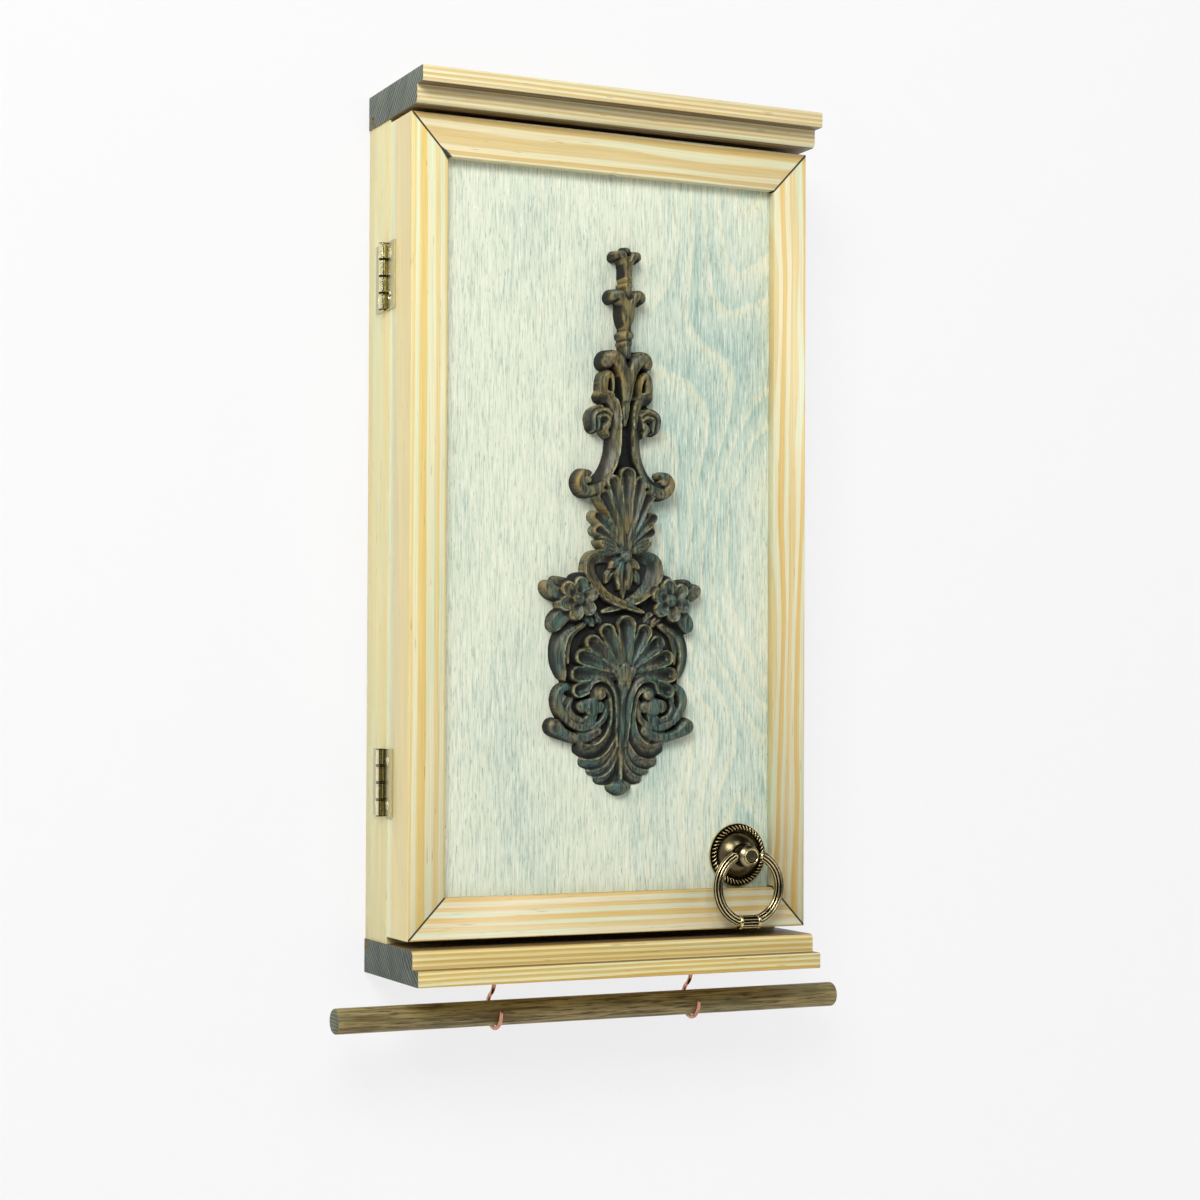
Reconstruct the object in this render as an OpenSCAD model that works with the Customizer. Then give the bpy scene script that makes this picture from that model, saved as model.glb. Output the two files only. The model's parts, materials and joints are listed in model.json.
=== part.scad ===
// Wall-hung jewellery cabinet: a shallow pine case, a mitred door with a carved ornament
// and a ring pull, and a dowel that rests in two open hooks under the base.
// X runs to the right, Y into the wall and Z up. The origin is the middle of the crown
// board's back face, so the wall is the plane y = 0 and the door faces -Y.

/* [Case] */
// Width of the crown and base boards
body_w = 210; // [190:1:250]
// Height from the base board's underside to the crown board's top
body_h = 420; // [400:1:500]
// Depth of the crown and base boards
body_d = 72; // [69:1:90]
// Thickness of the crown and base boards
board_t = 16; // [14:0.5:20]
// Height of the proud fillet along the outer edge of each board
fillet_h = 7.5; // [5:0.5:9]
// How far the fillet stands in front of the rest of the board
fillet_out = 7.4; // [4:0.2:8]
// Rounding of the board's front edge next to the door
nose_r = 2.4; // [1:0.2:4]
// Rounding of the fillet's edges and of the lath edges
arris_r = 0.8; // [0.4:0.1:1.2]
// How far the boards reach past the side boards at each end
side_inset = 0.5; // [0.2:0.1:3]
// Depth of the side boards
side_d = 28; // [24:1:32]
// Thickness of the side boards
side_t = 18; // [15:0.5:22]

/* [Back panel] */
// Thickness of the back panel
back_t = 3; // [2.5:0.5:5]
// Distance from the wall to the back panel
back_inset = 3; // [2:0.5:5]
// Depth of the groove in the crown and base boards
groove_d = 5.5; // [4:0.5:8]
// Depth of the groove in the side boards
side_groove_d = 5; // [4:0.5:6.5]
// Clearance around a panel in its groove
groove_clear = 0.1; // [0.05:0.05:0.3]

/* [Door] */
// Thickness of the door frame
door_t = 28; // [25:1:32]
// Width of the two upright frame members
stile_w = 18; // [16:0.5:24]
// Width of the top and bottom frame members
rail_w = 19.5; // [17:0.5:26]
// Gap between the side boards and the door
door_gap = 1; // [0.7:0.1:1.6]
// Gap between the crown board and the door
top_gap = 2; // [1:0.5:4]
// Gap between the door and the base board
bottom_gap = 3.5; // [1.5:0.5:5]
// Thickness of the door panel
panel_t = 4; // [3:0.5:6]
// Distance of the panel behind the front of the frame
panel_recess = 5.5; // [4:0.5:7]
// Depth of the panel groove in the frame
panel_groove_d = 5; // [4:0.5:8]

/* [Hinges] */
// Length of a hinge
hinge_len = 32; // [26:1:44]
// Width of one leaf from the pin axis to its free edge
leaf_w = 12.3; // [11:0.1:14]
// Thickness of a leaf
leaf_t = 1; // [0.8:0.1:1.2]
// Outer radius of the knuckles
knuckle_r = 1.8; // [1.5:0.1:2.3]
// Radius of the hinge pin
hinge_pin_r = 0.9; // [0.7:0.05:1.1]
// Radial play between the pin and the door's knuckles
hinge_play = 0.05; // [0.03:0.01:0.1]
// Gap between neighbouring knuckles
knuckle_gap = 0.2; // [0.1:0.05:0.4]
// Air between a knuckle and the wood
knuckle_air = 0.3; // [0.2:0.05:0.6]
// How far the pin sits behind the joint between case and door
pin_setback = 4; // [2:0.5:6]
// Distance of each hinge's middle from the door's end
hinge_from_end = 72; // [50:1:110]
// Spacing of the two screws in a leaf
leaf_screw_pitch = 20.5; // [15:0.5:22]
// Distance of a leaf's screws from the pin axis
leaf_screw_y = 7.2; // [6:0.1:8]

/* [Ring pull] */
// Radius of the round rose
rose_r = 15.5; // [13:0.5:17]
// Radius of the rope rim's own section
rope_r = 2; // [1.4:0.1:2.4]
// Thickness of the rose's flat edge
rose_edge_t = 1.5; // [1:0.1:2.5]
// Radius of the dome inside the rope rim
dome_r = 11.5; // [10:0.5:12]
// Height of the dome's top above the panel
dome_h = 8; // [6:0.5:9]
// Radius of the boss that carries the ring
boss_r = 5.4; // [4.8:0.1:6]
// Distance of the boss's front face from the panel
boss_h = 16; // [15:0.5:19]
// Distance of the ring's pivot from the panel
pivot_h = 12.5; // [12:0.1:13.5]
// Radius of the ring's pivot pins
pivot_r = 1; // [0.8:0.05:1.2]
// Radial play of the pivot pins in the boss
pivot_play = 0.05; // [0.03:0.01:0.1]
// Mean radius of the ring
ring_r = 16.8; // [15:0.2:19]
// Radius of the ring's section
ring_wire_r = 2.4; // [1.8:0.1:2.6]
// Half the distance between the ring's two ends
ring_end_x = 7.6; // [7.4:0.1:8.4]
// Length of the barrel at the bottom of the ring
barrel_len = 11; // [8:0.5:14]
// Radius of the barrel's two collars
collar_r = 3.6; // [3:0.1:3.8]
// Distance of the pull from the right edge of the door opening
pull_in_x = 17.2; // [17:0.1:26]
// Distance of the pull above the lower edge of the door opening
pull_up = 16; // [15.8:0.1:26]

/* [Hanging rod] */
// Radius of the dowel
rod_r = 6; // [5:0.25:6.5]
// Length of the dowel
rod_len = 266; // [230:1:320]
// Rounding of the dowel's ends
rod_round = 1.5; // [0.5:0.25:2.5]
// Distance of the dowel's axis from the wall
rod_y = 36; // [30:1:44]
// Distance of each hook from the middle
hook_x = 52.5; // [40:0.5:80]
// Radius of the hook wire
hook_wire_r = 1; // [0.8:0.1:1.3]
// Inner radius of the hook
hook_in_r = 7.5; // [7:0.25:9]
// Depth of the hook's thread in the base board
hook_thread = 11; // [8:0.5:12]
// Air between the dowel and the bottom of the hook
rod_air = 0.3; // [0.2:0.05:0.5]

/* [Ornament] */
// Height of the carved ornament
ornament_h = 265; // [220:1:275]
// Offset of the ornament to the right of the door's middle
ornament_x = 4; // [0:0.5:8]
// Height of the ornament's middle above the middle of the door opening
ornament_up = 7; // [0:0.5:12]
// Thickness of the ornament at its highest lobes
relief_h = 11; // [7:0.5:13]

/* [Inside] */
// Height of the peg rail
peg_rail_h = 22; // [18:1:30]
// Thickness of the peg rail
peg_rail_t = 10; // [8:0.5:12]
// Spacing of the pegs
peg_pitch = 32; // [28:1:34]
// Length of a peg in front of the rail
peg_len = 11; // [8:0.5:14]
// Spacing of the two wall screw holes
wall_pitch = 96; // [94:1:98]
// Radius of the wall screw holes
wall_hole_r = 2.25; // [2:0.05:2.6]
// Radius of the earring bars
bar_r = 2.5; // [2:0.1:3]
// Distance of the earring bars' axis from the wall
bar_y = 15; // [13:0.5:19]
// Depth of the bars' sockets in the side boards
bar_socket = 6; // [4:0.5:9]
// Distance of the upper bar below the crown board
upper_bar_down = 125; // [90:1:150]
// Distance of the lower bar below the crown board
lower_bar_down = 235; // [190:1:270]
// Height of the tray lip on the base board
lip_h = 12; // [8:0.5:18]
// Thickness of the tray lip
lip_t = 4; // [3:0.5:6]

/* [Catch and fixings] */
// Radius of the catch magnet
magnet_r = 4; // [3:0.25:5]
// Thickness of the catch magnet
magnet_t = 3; // [2:0.25:5]
// Radius of the bumper dots
bumper_r = 4; // [3:0.25:5]
// Distance of the bumper dots from the door's ends
bumper_in = 30; // [20:1:60]
// Radius of the case screws' shanks
case_screw_r = 1.6; // [1.4:0.1:1.8]
// Length of the case screws
case_screw_len = 36; // [30:1:44]
// Radius of the small screws' shanks
small_screw_r = 1.1; // [1:0.05:1.25]
// Length of the small screws
small_screw_len = 11; // [8:0.5:13]
// Radius of the pull screw
pull_screw_r = 2; // [1.6:0.1:2]

/* [Hidden] */
$fn = 48;

// Air between parts that are pressed or screwed together
snug = 0.02;
// A cut runs this far past the face that it opens
past = 1;

// Levels of the case, with z = 0 at the middle of the crown board's edge
top_z = board_t / 2;
crown_z = -board_t / 2;
base_z = crown_z - (body_h - 2 * board_t);
foot_z = base_z - board_t;
case_x = body_w / 2 - side_inset;
inner_x = case_x - side_t;
back_front_y = -(back_inset + back_t);

// The door's box and its opening
door_top = crown_z - top_gap;
door_bottom = base_z + bottom_gap;
door_back = -(side_d + door_gap);
door_front = door_back - door_t;
open_x = case_x - stile_w;
open_top = door_top - rail_w;
open_bottom = door_bottom + rail_w;
panel_front = door_front + panel_recess;
panel_back = panel_front + panel_t;

// Hinge places
pin_x = -(case_x + knuckle_air + knuckle_r);
pin_y = -(side_d + door_gap / 2) + pin_setback;
knuckle_h = hinge_len / 4;
hinge_upper_z = door_top - hinge_from_end;
hinge_lower_z = door_bottom + hinge_from_end;
leaf_head_r = 2.2;

// Ring pull places
pull_x = open_x - pull_in_x;
pull_z = open_bottom + pull_up;
pivot_y = panel_front - pivot_h;
boss_nose_r = 3.6;
pivot_depth = 2;
pivot_end_gap = 0.3;
stem_r = 3;
seat_h = dome_h - 1.3;
boss_thread = seat_h;
washer_t = 1;
washer_r = 5;
ring_open = asin(ring_end_x / ring_r);
ring_drop = ring_r * cos(ring_open);
barrel_r = collar_r - 0.5;
collar_t = 1.6;

// Hanging rod places
hook_mean_r = hook_in_r + hook_wire_r;
hook_turn = 60;
hook_tip = 175;
hook_neck_r = hook_wire_r - 0.03;
hook_straight = 2;
hook_z = foot_z - hook_straight - 2 * hook_mean_r * sin(hook_turn);
rod_z = hook_z - hook_in_r + rod_r + rod_air;

// Inside places
peg_neck_r = 1.6;
peg_knob_r = 3;
peg_tenon = 7;
rail_z = crown_z - peg_rail_h / 2;
upper_bar_z = crown_z - upper_bar_down;
lower_bar_z = crown_z - lower_bar_down;
catch_z = (door_top + door_bottom) / 2;
strike_t = door_gap - 0.1;
strike_r = magnet_r + 1;
latch_x = case_x - side_t / 2;
bumper_t = door_gap - 0.05;
case_head_r = 3.2;
crown_screw_y = [-11, -21];

// Colours
pine = "#dcc98f";
ply = "#c9d6c4";
dark = "#4a3f30";
bronze = "#6b5a3a";
brass = "#b3a777";
copper = "#b07a66";
steel = "#9a9a98";
olive = "#6e6238";

module along_x(len) {
    // Draws a section given in Y and Z as a prism along X
    rotate([90, 0, 90])
        linear_extrude(len, center = true)
            children();
}

module corner_cut(r) {
    // What a rounding takes off a square corner at the origin, with the solid in +X and +Y
    difference() {
        translate([-past, -past]) square(r + past);
        translate([r, r]) circle(r);
    }
}

module wood_screw(len, shank_r, head_r) {
    // Countersunk screw with its head's face at the origin and its shank along -Z
    sink = head_r - shank_r;
    difference() {
        union() {
            translate([0, 0, -sink]) cylinder(h = sink, r1 = shank_r, r2 = head_r);
            translate([0, 0, -len + 2]) cylinder(h = len - 2 - sink, r = shank_r);
            translate([0, 0, -len]) cylinder(h = 2, r1 = 0.2, r2 = shank_r);
        }
        for (turn = [0, 90])
            rotate([0, 0, turn])
                translate([-head_r * 0.6, -0.3, -0.6])
                    cube([head_r * 1.2, 0.6, past]);
    }
}

module screw_hole(len, shank_r, head_r) {
    // The hole that a wood screw fills, with its mouth at the origin
    sink = head_r - shank_r;
    translate([0, 0, -len - snug]) cylinder(h = len + past, r = shank_r + snug);
    translate([0, 0, -sink]) cylinder(h = sink + snug, r1 = shank_r + snug, r2 = head_r + 2 * snug);
    cylinder(h = past, r = head_r + 2 * snug);
}

// Crown and base boards

module board_section() {
    // Moulded edge in Y and Z, with the inner face at z = 0 and the fillet on the outer side
    face_d = body_d - fillet_out;
    difference() {
        union() {
            translate([-body_d, board_t - fillet_h]) square([body_d, fillet_h]);
            translate([-face_d, 0]) square([face_d, board_t]);
        }
        translate([-face_d, 0]) corner_cut(nose_r);
        translate([-body_d, board_t - fillet_h]) corner_cut(arris_r);
        translate([-body_d, board_t]) mirror([0, 1]) corner_cut(arris_r);
        translate([back_front_y - groove_clear, -past])
            square([back_t + 2 * groove_clear, groove_d + past]);
    }
}

module at_case_screws() {
    for (side = [-1, 1], y = crown_screw_y)
        translate([side * (case_x - side_t / 2), y, 0]) children();
}

module crown_board() {
    color(pine)
        difference() {
            translate([0, 0, crown_z]) along_x(body_w) board_section();
            translate([0, 0, top_z])
                at_case_screws() screw_hole(case_screw_len, case_screw_r, case_head_r);
        }
}

module base_board() {
    color(pine)
        difference() {
            translate([0, 0, base_z]) mirror([0, 0, 1]) along_x(body_w) board_section();
            translate([0, 0, foot_z])
                mirror([0, 0, 1])
                    at_case_screws() screw_hole(case_screw_len, case_screw_r, case_head_r);
            for (side = [-1, 1])
                translate([side * hook_x, -rod_y, foot_z - past])
                    cylinder(h = hook_thread + snug + past, r = hook_wire_r + snug);
        }
}

module crown_screws() {
    color(steel)
        translate([0, 0, top_z])
            at_case_screws() wood_screw(case_screw_len, case_screw_r, case_head_r);
}

module base_screws() {
    color(steel)
        translate([0, 0, foot_z])
            mirror([0, 0, 1])
                at_case_screws() wood_screw(case_screw_len, case_screw_r, case_head_r);
}

// Side boards and back

module side_blank() {
    // Left side board before its hardware, between the crown and base boards
    translate([-case_x, 0, base_z])
        linear_extrude(crown_z - base_z)
            difference() {
                translate([0, -side_d]) square([side_t, side_d]);
                translate([0, -side_d]) corner_cut(arris_r);
                translate([side_t - side_groove_d, back_front_y - groove_clear])
                    square([side_groove_d + past, back_t + 2 * groove_clear]);
            }
}

module side_holes() {
    // Holes that both side boards have, drawn for the left one
    translate([0, 0, top_z])
        at_case_screws() screw_hole(case_screw_len, case_screw_r, case_head_r);
    translate([0, 0, foot_z])
        mirror([0, 0, 1])
            at_case_screws() screw_hole(case_screw_len, case_screw_r, case_head_r);
    for (z = [upper_bar_z, lower_bar_z])
        translate([-inner_x - bar_socket, -bar_y, z])
            rotate([0, 90, 0]) cylinder(h = bar_socket + past, r = bar_r + snug);
}

module side_board_left() {
    color(pine)
        difference() {
            side_blank();
            side_holes();
            at_hinges()
                at_leaf_screws(1) screw_hole(small_screw_len, small_screw_r, leaf_head_r);
        }
}

module side_board_right() {
    color(pine)
        difference() {
            mirror([1, 0, 0]) side_blank();
            mirror([1, 0, 0]) side_holes();
            translate([latch_x, -side_d - past, catch_z])
                rotate([-90, 0, 0]) cylinder(h = magnet_t + snug + past, r = magnet_r + snug);
        }
}

module at_wall_screws() {
    for (side = [-1, 1])
        translate([side * wall_pitch / 2, 0, rail_z]) rotate([90, 0, 0]) children();
}

module back_panel() {
    reach_x = inner_x + side_groove_d - groove_clear;
    reach_top = crown_z + groove_d - groove_clear;
    reach_foot = base_z - groove_d + groove_clear;
    color(ply)
        difference() {
            translate([-reach_x, back_front_y, reach_foot])
                cube([2 * reach_x, back_t, reach_top - reach_foot]);
            at_wall_screws() cylinder(h = body_d, r = wall_hole_r);
        }
}

// Inside fittings

module peg_rail() {
    color(pine)
        difference() {
            translate([-inner_x, back_front_y - peg_rail_t, crown_z - peg_rail_h])
                cube([2 * inner_x, peg_rail_t, peg_rail_h]);
            at_wall_screws() cylinder(h = body_d, r = wall_hole_r);
            translate([0, back_front_y - peg_rail_t, 0])
                at_wall_screws()
                    translate([0, 0, -wall_hole_r])
                        cylinder(h = wall_hole_r + snug, r1 = wall_hole_r, r2 = 2 * wall_hole_r + snug);
            at_pegs()
                translate([0, 0, -peg_tenon - snug])
                    cylinder(h = peg_tenon + past, r = peg_neck_r + snug);
        }
}

module at_pegs() {
    // Origin on the rail's front face at each peg, with +Z pointing out of the rail
    for (i = [-2:2])
        translate([i * peg_pitch, back_front_y - peg_rail_t, rail_z])
            rotate([90, 0, 0]) children();
}

module necklace_pegs() {
    color(pine)
        at_pegs() {
            translate([0, 0, -peg_tenon]) cylinder(h = peg_tenon + peg_len - peg_knob_r, r = peg_neck_r);
            translate([0, 0, peg_len - peg_knob_r]) sphere(peg_knob_r);
        }
}

module earring_bar(z) {
    half = inner_x + bar_socket - snug;
    color(pine)
        translate([-half, -bar_y, z]) rotate([0, 90, 0]) cylinder(h = 2 * half, r = bar_r);
}

module earring_bar_upper() {
    earring_bar(upper_bar_z);
}

module earring_bar_lower() {
    earring_bar(lower_bar_z);
}

module tray_lip() {
    color(pine)
        translate([-inner_x, -side_d, base_z]) cube([2 * inner_x, lip_t, lip_h]);
}

module catch_magnet() {
    color(steel)
        translate([latch_x, -side_d, catch_z])
            rotate([-90, 0, 0]) cylinder(h = magnet_t, r = magnet_r);
}

module door_bumpers() {
    color(dark)
        for (z = [door_top - bumper_in, door_bottom + bumper_in])
            translate([latch_x, -side_d, z])
                rotate([90, 0, 0]) cylinder(h = bumper_t, r = bumper_r);
}

// Hinges

module at_hinges() {
    for (z = [hinge_upper_z, hinge_lower_z])
        translate([0, 0, z]) children();
}

module at_leaf_screws(side) {
    // Screw heads of one leaf: side 1 is the case leaf towards the wall, -1 the door leaf
    for (up = [-1, 1])
        translate([-case_x - leaf_t, pin_y + side * leaf_screw_y, up * leaf_screw_pitch / 2])
            rotate([0, -90, 0]) children();
}

module hinge_leaf(side, first, bore_r) {
    // Leaf with every second knuckle, counted from the lower end
    clear_y = knuckle_r + knuckle_air;
    color(brass)
        difference() {
            union() {
                translate([-case_x - leaf_t, side > 0 ? pin_y + clear_y : pin_y - leaf_w, -hinge_len / 2])
                    cube([leaf_t, leaf_w - clear_y, hinge_len]);
                for (i = [first:2:3])
                    translate([0, 0, -hinge_len / 2 + i * knuckle_h + knuckle_gap / 2]) {
                        translate([pin_x, pin_y, 0])
                            cylinder(h = knuckle_h - knuckle_gap, r = knuckle_r);
                        translate([-case_x - leaf_t, side > 0 ? pin_y : pin_y - clear_y - snug, 0])
                            cube([leaf_t, clear_y + snug, knuckle_h - knuckle_gap]);
                    }
            }
            translate([pin_x, pin_y, -hinge_len]) cylinder(h = 2 * hinge_len, r = bore_r);
            at_leaf_screws(side) screw_hole(small_screw_len, small_screw_r, leaf_head_r);
        }
}

module hinge_case_leaf_upper() {
    translate([0, 0, hinge_upper_z]) hinge_leaf(1, 0, hinge_pin_r + snug);
}

module hinge_case_leaf_lower() {
    translate([0, 0, hinge_lower_z]) hinge_leaf(1, 0, hinge_pin_r + snug);
}

module hinge_door_leaf_upper() {
    translate([0, 0, hinge_upper_z]) hinge_leaf(-1, 1, hinge_pin_r + hinge_play);
}

module hinge_door_leaf_lower() {
    translate([0, 0, hinge_lower_z]) hinge_leaf(-1, 1, hinge_pin_r + hinge_play);
}

module hinge_pin(z) {
    color(brass)
        translate([pin_x, pin_y, z - hinge_len / 2]) cylinder(h = hinge_len, r = hinge_pin_r);
}

module hinge_pin_upper() {
    hinge_pin(hinge_upper_z);
}

module hinge_pin_lower() {
    hinge_pin(hinge_lower_z);
}

module hinge_case_screws() {
    color(brass)
        at_hinges() at_leaf_screws(1) wood_screw(small_screw_len, small_screw_r, leaf_head_r);
}

module hinge_door_screws() {
    color(brass)
        at_hinges() at_leaf_screws(-1) wood_screw(small_screw_len, small_screw_r, leaf_head_r);
}

// Hooks and rod

module rod_hook(side) {
    // Open hook bent in the plane across the rod, in local axes with X towards the wall.
    // The neck's bend is a hair thinner, so each seam has its own edge.
    neck = [2 * hook_mean_r * cos(hook_turn), 2 * hook_mean_r * sin(hook_turn), 0];
    color(copper)
        translate([side * hook_x, -rod_y, hook_z])
            rotate([90, 0, 90]) {
                rotate([0, 0, hook_tip])
                    rotate_extrude(angle = 360 + hook_turn - hook_tip)
                        translate([hook_mean_r, 0]) circle(hook_wire_r);
                translate(neck)
                    rotate([0, 0, 180])
                        rotate_extrude(angle = hook_turn)
                            translate([hook_mean_r, 0]) circle(hook_neck_r);
                translate([0, neck[1], 0])
                    rotate([-90, 0, 0])
                        cylinder(h = hook_straight + hook_thread, r = hook_wire_r);
            }
}

module rod_hook_left() {
    rod_hook(-1);
}

module rod_hook_right() {
    rod_hook(1);
}

module hanging_rod() {
    half = rod_len / 2;
    color(olive)
        translate([0, -rod_y, rod_z])
            rotate([0, 90, 0])
                rotate_extrude()
                    difference() {
                        translate([0, -half]) square([rod_r, rod_len]);
                        for (end = [0, 1])
                            mirror([0, end])
                                translate([rod_r, half]) rotate(180) corner_cut(rod_round);
                    }
}

// Door

module mitre_plan(upright) {
    // Front outline of the left stile or of the top rail, out to the mitred corners
    if (upright)
        polygon([[-case_x, door_bottom], [-open_x, open_bottom], [-open_x, open_top],
            [-case_x, door_top]]);
    else
        polygon([[-case_x, door_top], [-open_x, open_top], [open_x, open_top],
            [case_x, door_top]]);
}

module lath_section(width) {
    // Section of a frame member: outer edge at x = 0, back at y = 0, front at y = -door_t
    groove_y = -door_t + panel_recess - groove_clear;
    difference() {
        translate([0, -door_t]) square([width, door_t]);
        translate([0, -door_t]) corner_cut(arris_r);
        translate([width, -door_t]) mirror([1, 0]) corner_cut(arris_r / 2);
        translate([width - panel_groove_d, groove_y])
            square([panel_groove_d + past, panel_t + 2 * groove_clear]);
    }
}

module stile_blank() {
    intersection() {
        translate([-case_x, door_back, door_bottom])
            linear_extrude(door_top - door_bottom) lath_section(stile_w);
        rotate([90, 0, 0]) linear_extrude(body_d) mitre_plan(true);
    }
}

module rail_blank() {
    // Top rail, with the section's outer edge turned up
    intersection() {
        translate([0, door_back, door_top]) along_x(2 * case_x) rotate(-90) lath_section(rail_w);
        rotate([90, 0, 0]) linear_extrude(body_d) mitre_plan(false);
    }
}

module door_stile_left() {
    color(pine)
        difference() {
            stile_blank();
            at_hinges()
                at_leaf_screws(-1) screw_hole(small_screw_len, small_screw_r, leaf_head_r);
        }
}

module door_stile_right() {
    color(pine)
        difference() {
            mirror([1, 0, 0]) stile_blank();
            at_strike() screw_hole(small_screw_len, small_screw_r, leaf_head_r);
        }
}

module door_rail_top() {
    color(pine) rail_blank();
}

module door_rail_bottom() {
    color(pine)
        translate([0, 0, door_bottom + door_top]) mirror([0, 0, 1]) rail_blank();
}

module door_panel() {
    reach = panel_groove_d - groove_clear;
    color(ply)
        difference() {
            translate([-open_x - reach, panel_front, open_bottom - reach])
                cube([2 * (open_x + reach), panel_t, open_top - open_bottom + 2 * reach]);
            translate([pull_x, panel_back + past, pull_z])
                rotate([90, 0, 0]) cylinder(h = panel_t + 2 * past, r = pull_screw_r + snug);
        }
}

module at_strike() {
    // Origin on the strike plate's face, with +Z towards the magnet
    translate([latch_x, door_back + strike_t, catch_z]) rotate([-90, 0, 0]) children();
}

module strike_plate() {
    color(steel)
        difference() {
            at_strike() translate([0, 0, -strike_t]) cylinder(h = strike_t, r = strike_r);
            at_strike() screw_hole(small_screw_len, small_screw_r, leaf_head_r);
        }
}

module strike_screw() {
    color(steel) at_strike() wood_screw(small_screw_len, small_screw_r, leaf_head_r);
}

// Ornament

// Each stroke is its share of the relief and its path, with x and y in millimetres from the
// ornament's middle and the lobe's radius there. The first list lies on the axis and the
// second one is drawn on both sides of it.
drawn_h = 265;
middle_strokes = [
    [0.7, [[0, 130, 2.5], [0, 127, 2.6]]],
    [0.75, [[0, 124, 3.6], [0, 116, 3.6]]],
    [0.65, [[0, 115, 3.8], [0, 111, 3.8]]],
    [0.55, [[0, 112, 3], [0, 80, 3]]],
    [0.85, [[0, 103, 5.4], [0, 91.5, 4.6]]],
    [0.7, [[0, 88, 4.2], [0, 84.5, 4.2]]],
    [0.9, [[0, 76, 5], [0, 70, 6.6], [0, 60, 5], [0, 42, 3.2]]],
    [0.4, [[0, 14, 11], [0, -8, 12]]],
    [1, [[0, 18.5, 4.1], [0, -6, 3]]],
    [0.9, [[0, -17.6, 3.4], [0, -18.6, 3.4]]],
    [0.6, [[0, -20, 3], [0, -34, 3]]],
    [0.45, [[0, -62, 14], [0, -76, 16]]],
    [1, [[0, -50, 5.1], [0, -70, 3.4]]],
    [0.85, [[0, -70, 5], [0, -80, 3.5], [0, -112, 3]]],
    [0.6, [[0, -112, 3], [0, -126, 4.5]]],
    [0.55, [[-3, -128, 4], [3, -128, 4]]]
];
side_strokes = [
    [0.75, [[1.8, 118, 2.6], [3, 124, 2.6], [5.4, 125, 2.6]]],
    [0.8, [[2.6, 98, 3.4], [4, 105, 3.6], [7.3, 105.6, 3.8]]],
    [0.9, [[3.4, 68, 4], [5.5, 75, 4.2], [10.4, 75.4, 4.9]]],
    [0.7, [[7.5, 67.5, 2.5], [11, 67, 2.6], [12.6, 62, 2.6], [9, 57, 2.5]]],
    [0.7, [[13.8, 56.5, 3], [9, 50.5, 3], [5, 42, 3]]],
    [0.85, [[14.2, 46, 5.8], [13.2, 42, 5.4], [9, 38.5, 3]]],
    [0.75, [[3.6, 44.6, 3.2], [4.7, 35, 3.3], [6.9, 28.5, 3.3], [10.4, 22.8, 3.2],
        [15.2, 17.8, 3], [21, 16.6, 5.6]]],
    [1, [[7.9, 16.5, 3.5], [2, -6, 2.5]]],
    [0.95, [[12, 9.5, 3.7], [3, -8, 2.5]]],
    [0.85, [[15, 0.2, 3], [4, -10, 2.4]]],
    [0.75, [[14, -6.4, 2.7], [4, -13, 2.4]]],
    [0.75, [[11.5, -13, 2.8], [4, -17, 2.2]]],
    [0.7, [[5, -19.6, 2.6], [12.5, -18.8, 3.3], [18.6, -20.6, 3.4], [19.4, -26, 3.2],
        [15.6, -32, 2.9], [9.5, -37, 2.6], [0, -41.5, 2.2], [-10, -44.8, 1.8]]],
    [0.55, [[4, -21, 2.6], [7.4, -31, 2]]],
    [0.55, [[4, -20, 2.4], [9, -24, 2.2]]],
    [0.5, [[0, -45.5, 3], [11, -48.5, 3], [20, -48, 3]]],
    [0.5, [[14, -33, 2.6], [20, -36, 3]]],
    [0.55, [[29, -37.5, 4], [36.2, -36.2, 4.6]]],
    [0.5, [[28, -46, 4], [33.4, -49.8, 4.2]]],
    [0.5, [[22, -33, 3], [21.6, -30, 2.6]]],
    [0.5, [[14, -55, 2.4], [18, -51.5, 2.6], [24.4, -51, 2.9], [30.8, -55.1, 3.1],
        [34, -62.1, 3.1], [34.4, -68.6, 3], [32, -75.5, 2.4]]],
    [0.95, [[9.5, -53.8, 4.2], [2, -70, 3]]],
    [0.92, [[16.4, -59.3, 4.1], [3, -72, 3]]],
    [0.88, [[22.1, -66, 4.1], [5, -74, 3]]],
    [0.82, [[23.9, -74.3, 3.9], [6, -76, 3]]],
    [0.75, [[23.9, -82.3, 3.7], [7, -79, 3]]],
    [0.85, [[3.2, -110, 2.6], [3.4, -98, 2.7], [3.4, -89, 2.7], [4.4, -81.5, 2.6],
        [8.5, -77.8, 2.6], [13.6, -80, 2.6]]],
    [0.9, [[12.7, -83.2, 3], [12.7, -83.9, 3]]],
    [0.6, [[30.5, -79, 2.2], [33.4, -85.9, 2.7], [32.6, -91, 2.9], [29, -95.5, 2.9],
        [23.7, -98, 2.7], [14, -98.5, 2.4]]],
    [0.65, [[14, -88, 3.4], [20, -88, 3.3]]],
    [0.6, [[17, -89, 3.4], [17, -93.5, 3.2]]],
    [0.55, [[35.3, -100, 4.2], [30, -103.5, 2.9], [24, -105.2, 2.9], [17, -104.6, 2.9],
        [10, -100.5, 2.6]]],
    [0.65, [[3.6, -98, 2.6], [6.2, -106.2, 3.1], [12.4, -111.8, 3.2], [19, -112, 3.2]]],
    [0.6, [[2.8, -106, 2.6], [5.6, -114, 2.9], [11, -118.4, 3], [16.4, -118, 2.9]]],
    [0.55, [[1.8, -114, 2.6], [4.4, -122, 2.8], [9, -125.8, 2.8]]]
];
flower_at = [24.8, -39.1];
petal_out = 6.8;
petal_r = 3.7;
petal_turn = 79;

module pebble(point, rise) {
    translate([point[0], point[1], 0])
        cylinder(h = rise, r1 = point[2], r2 = 0.6 * point[2], $fn = 8);
}

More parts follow.
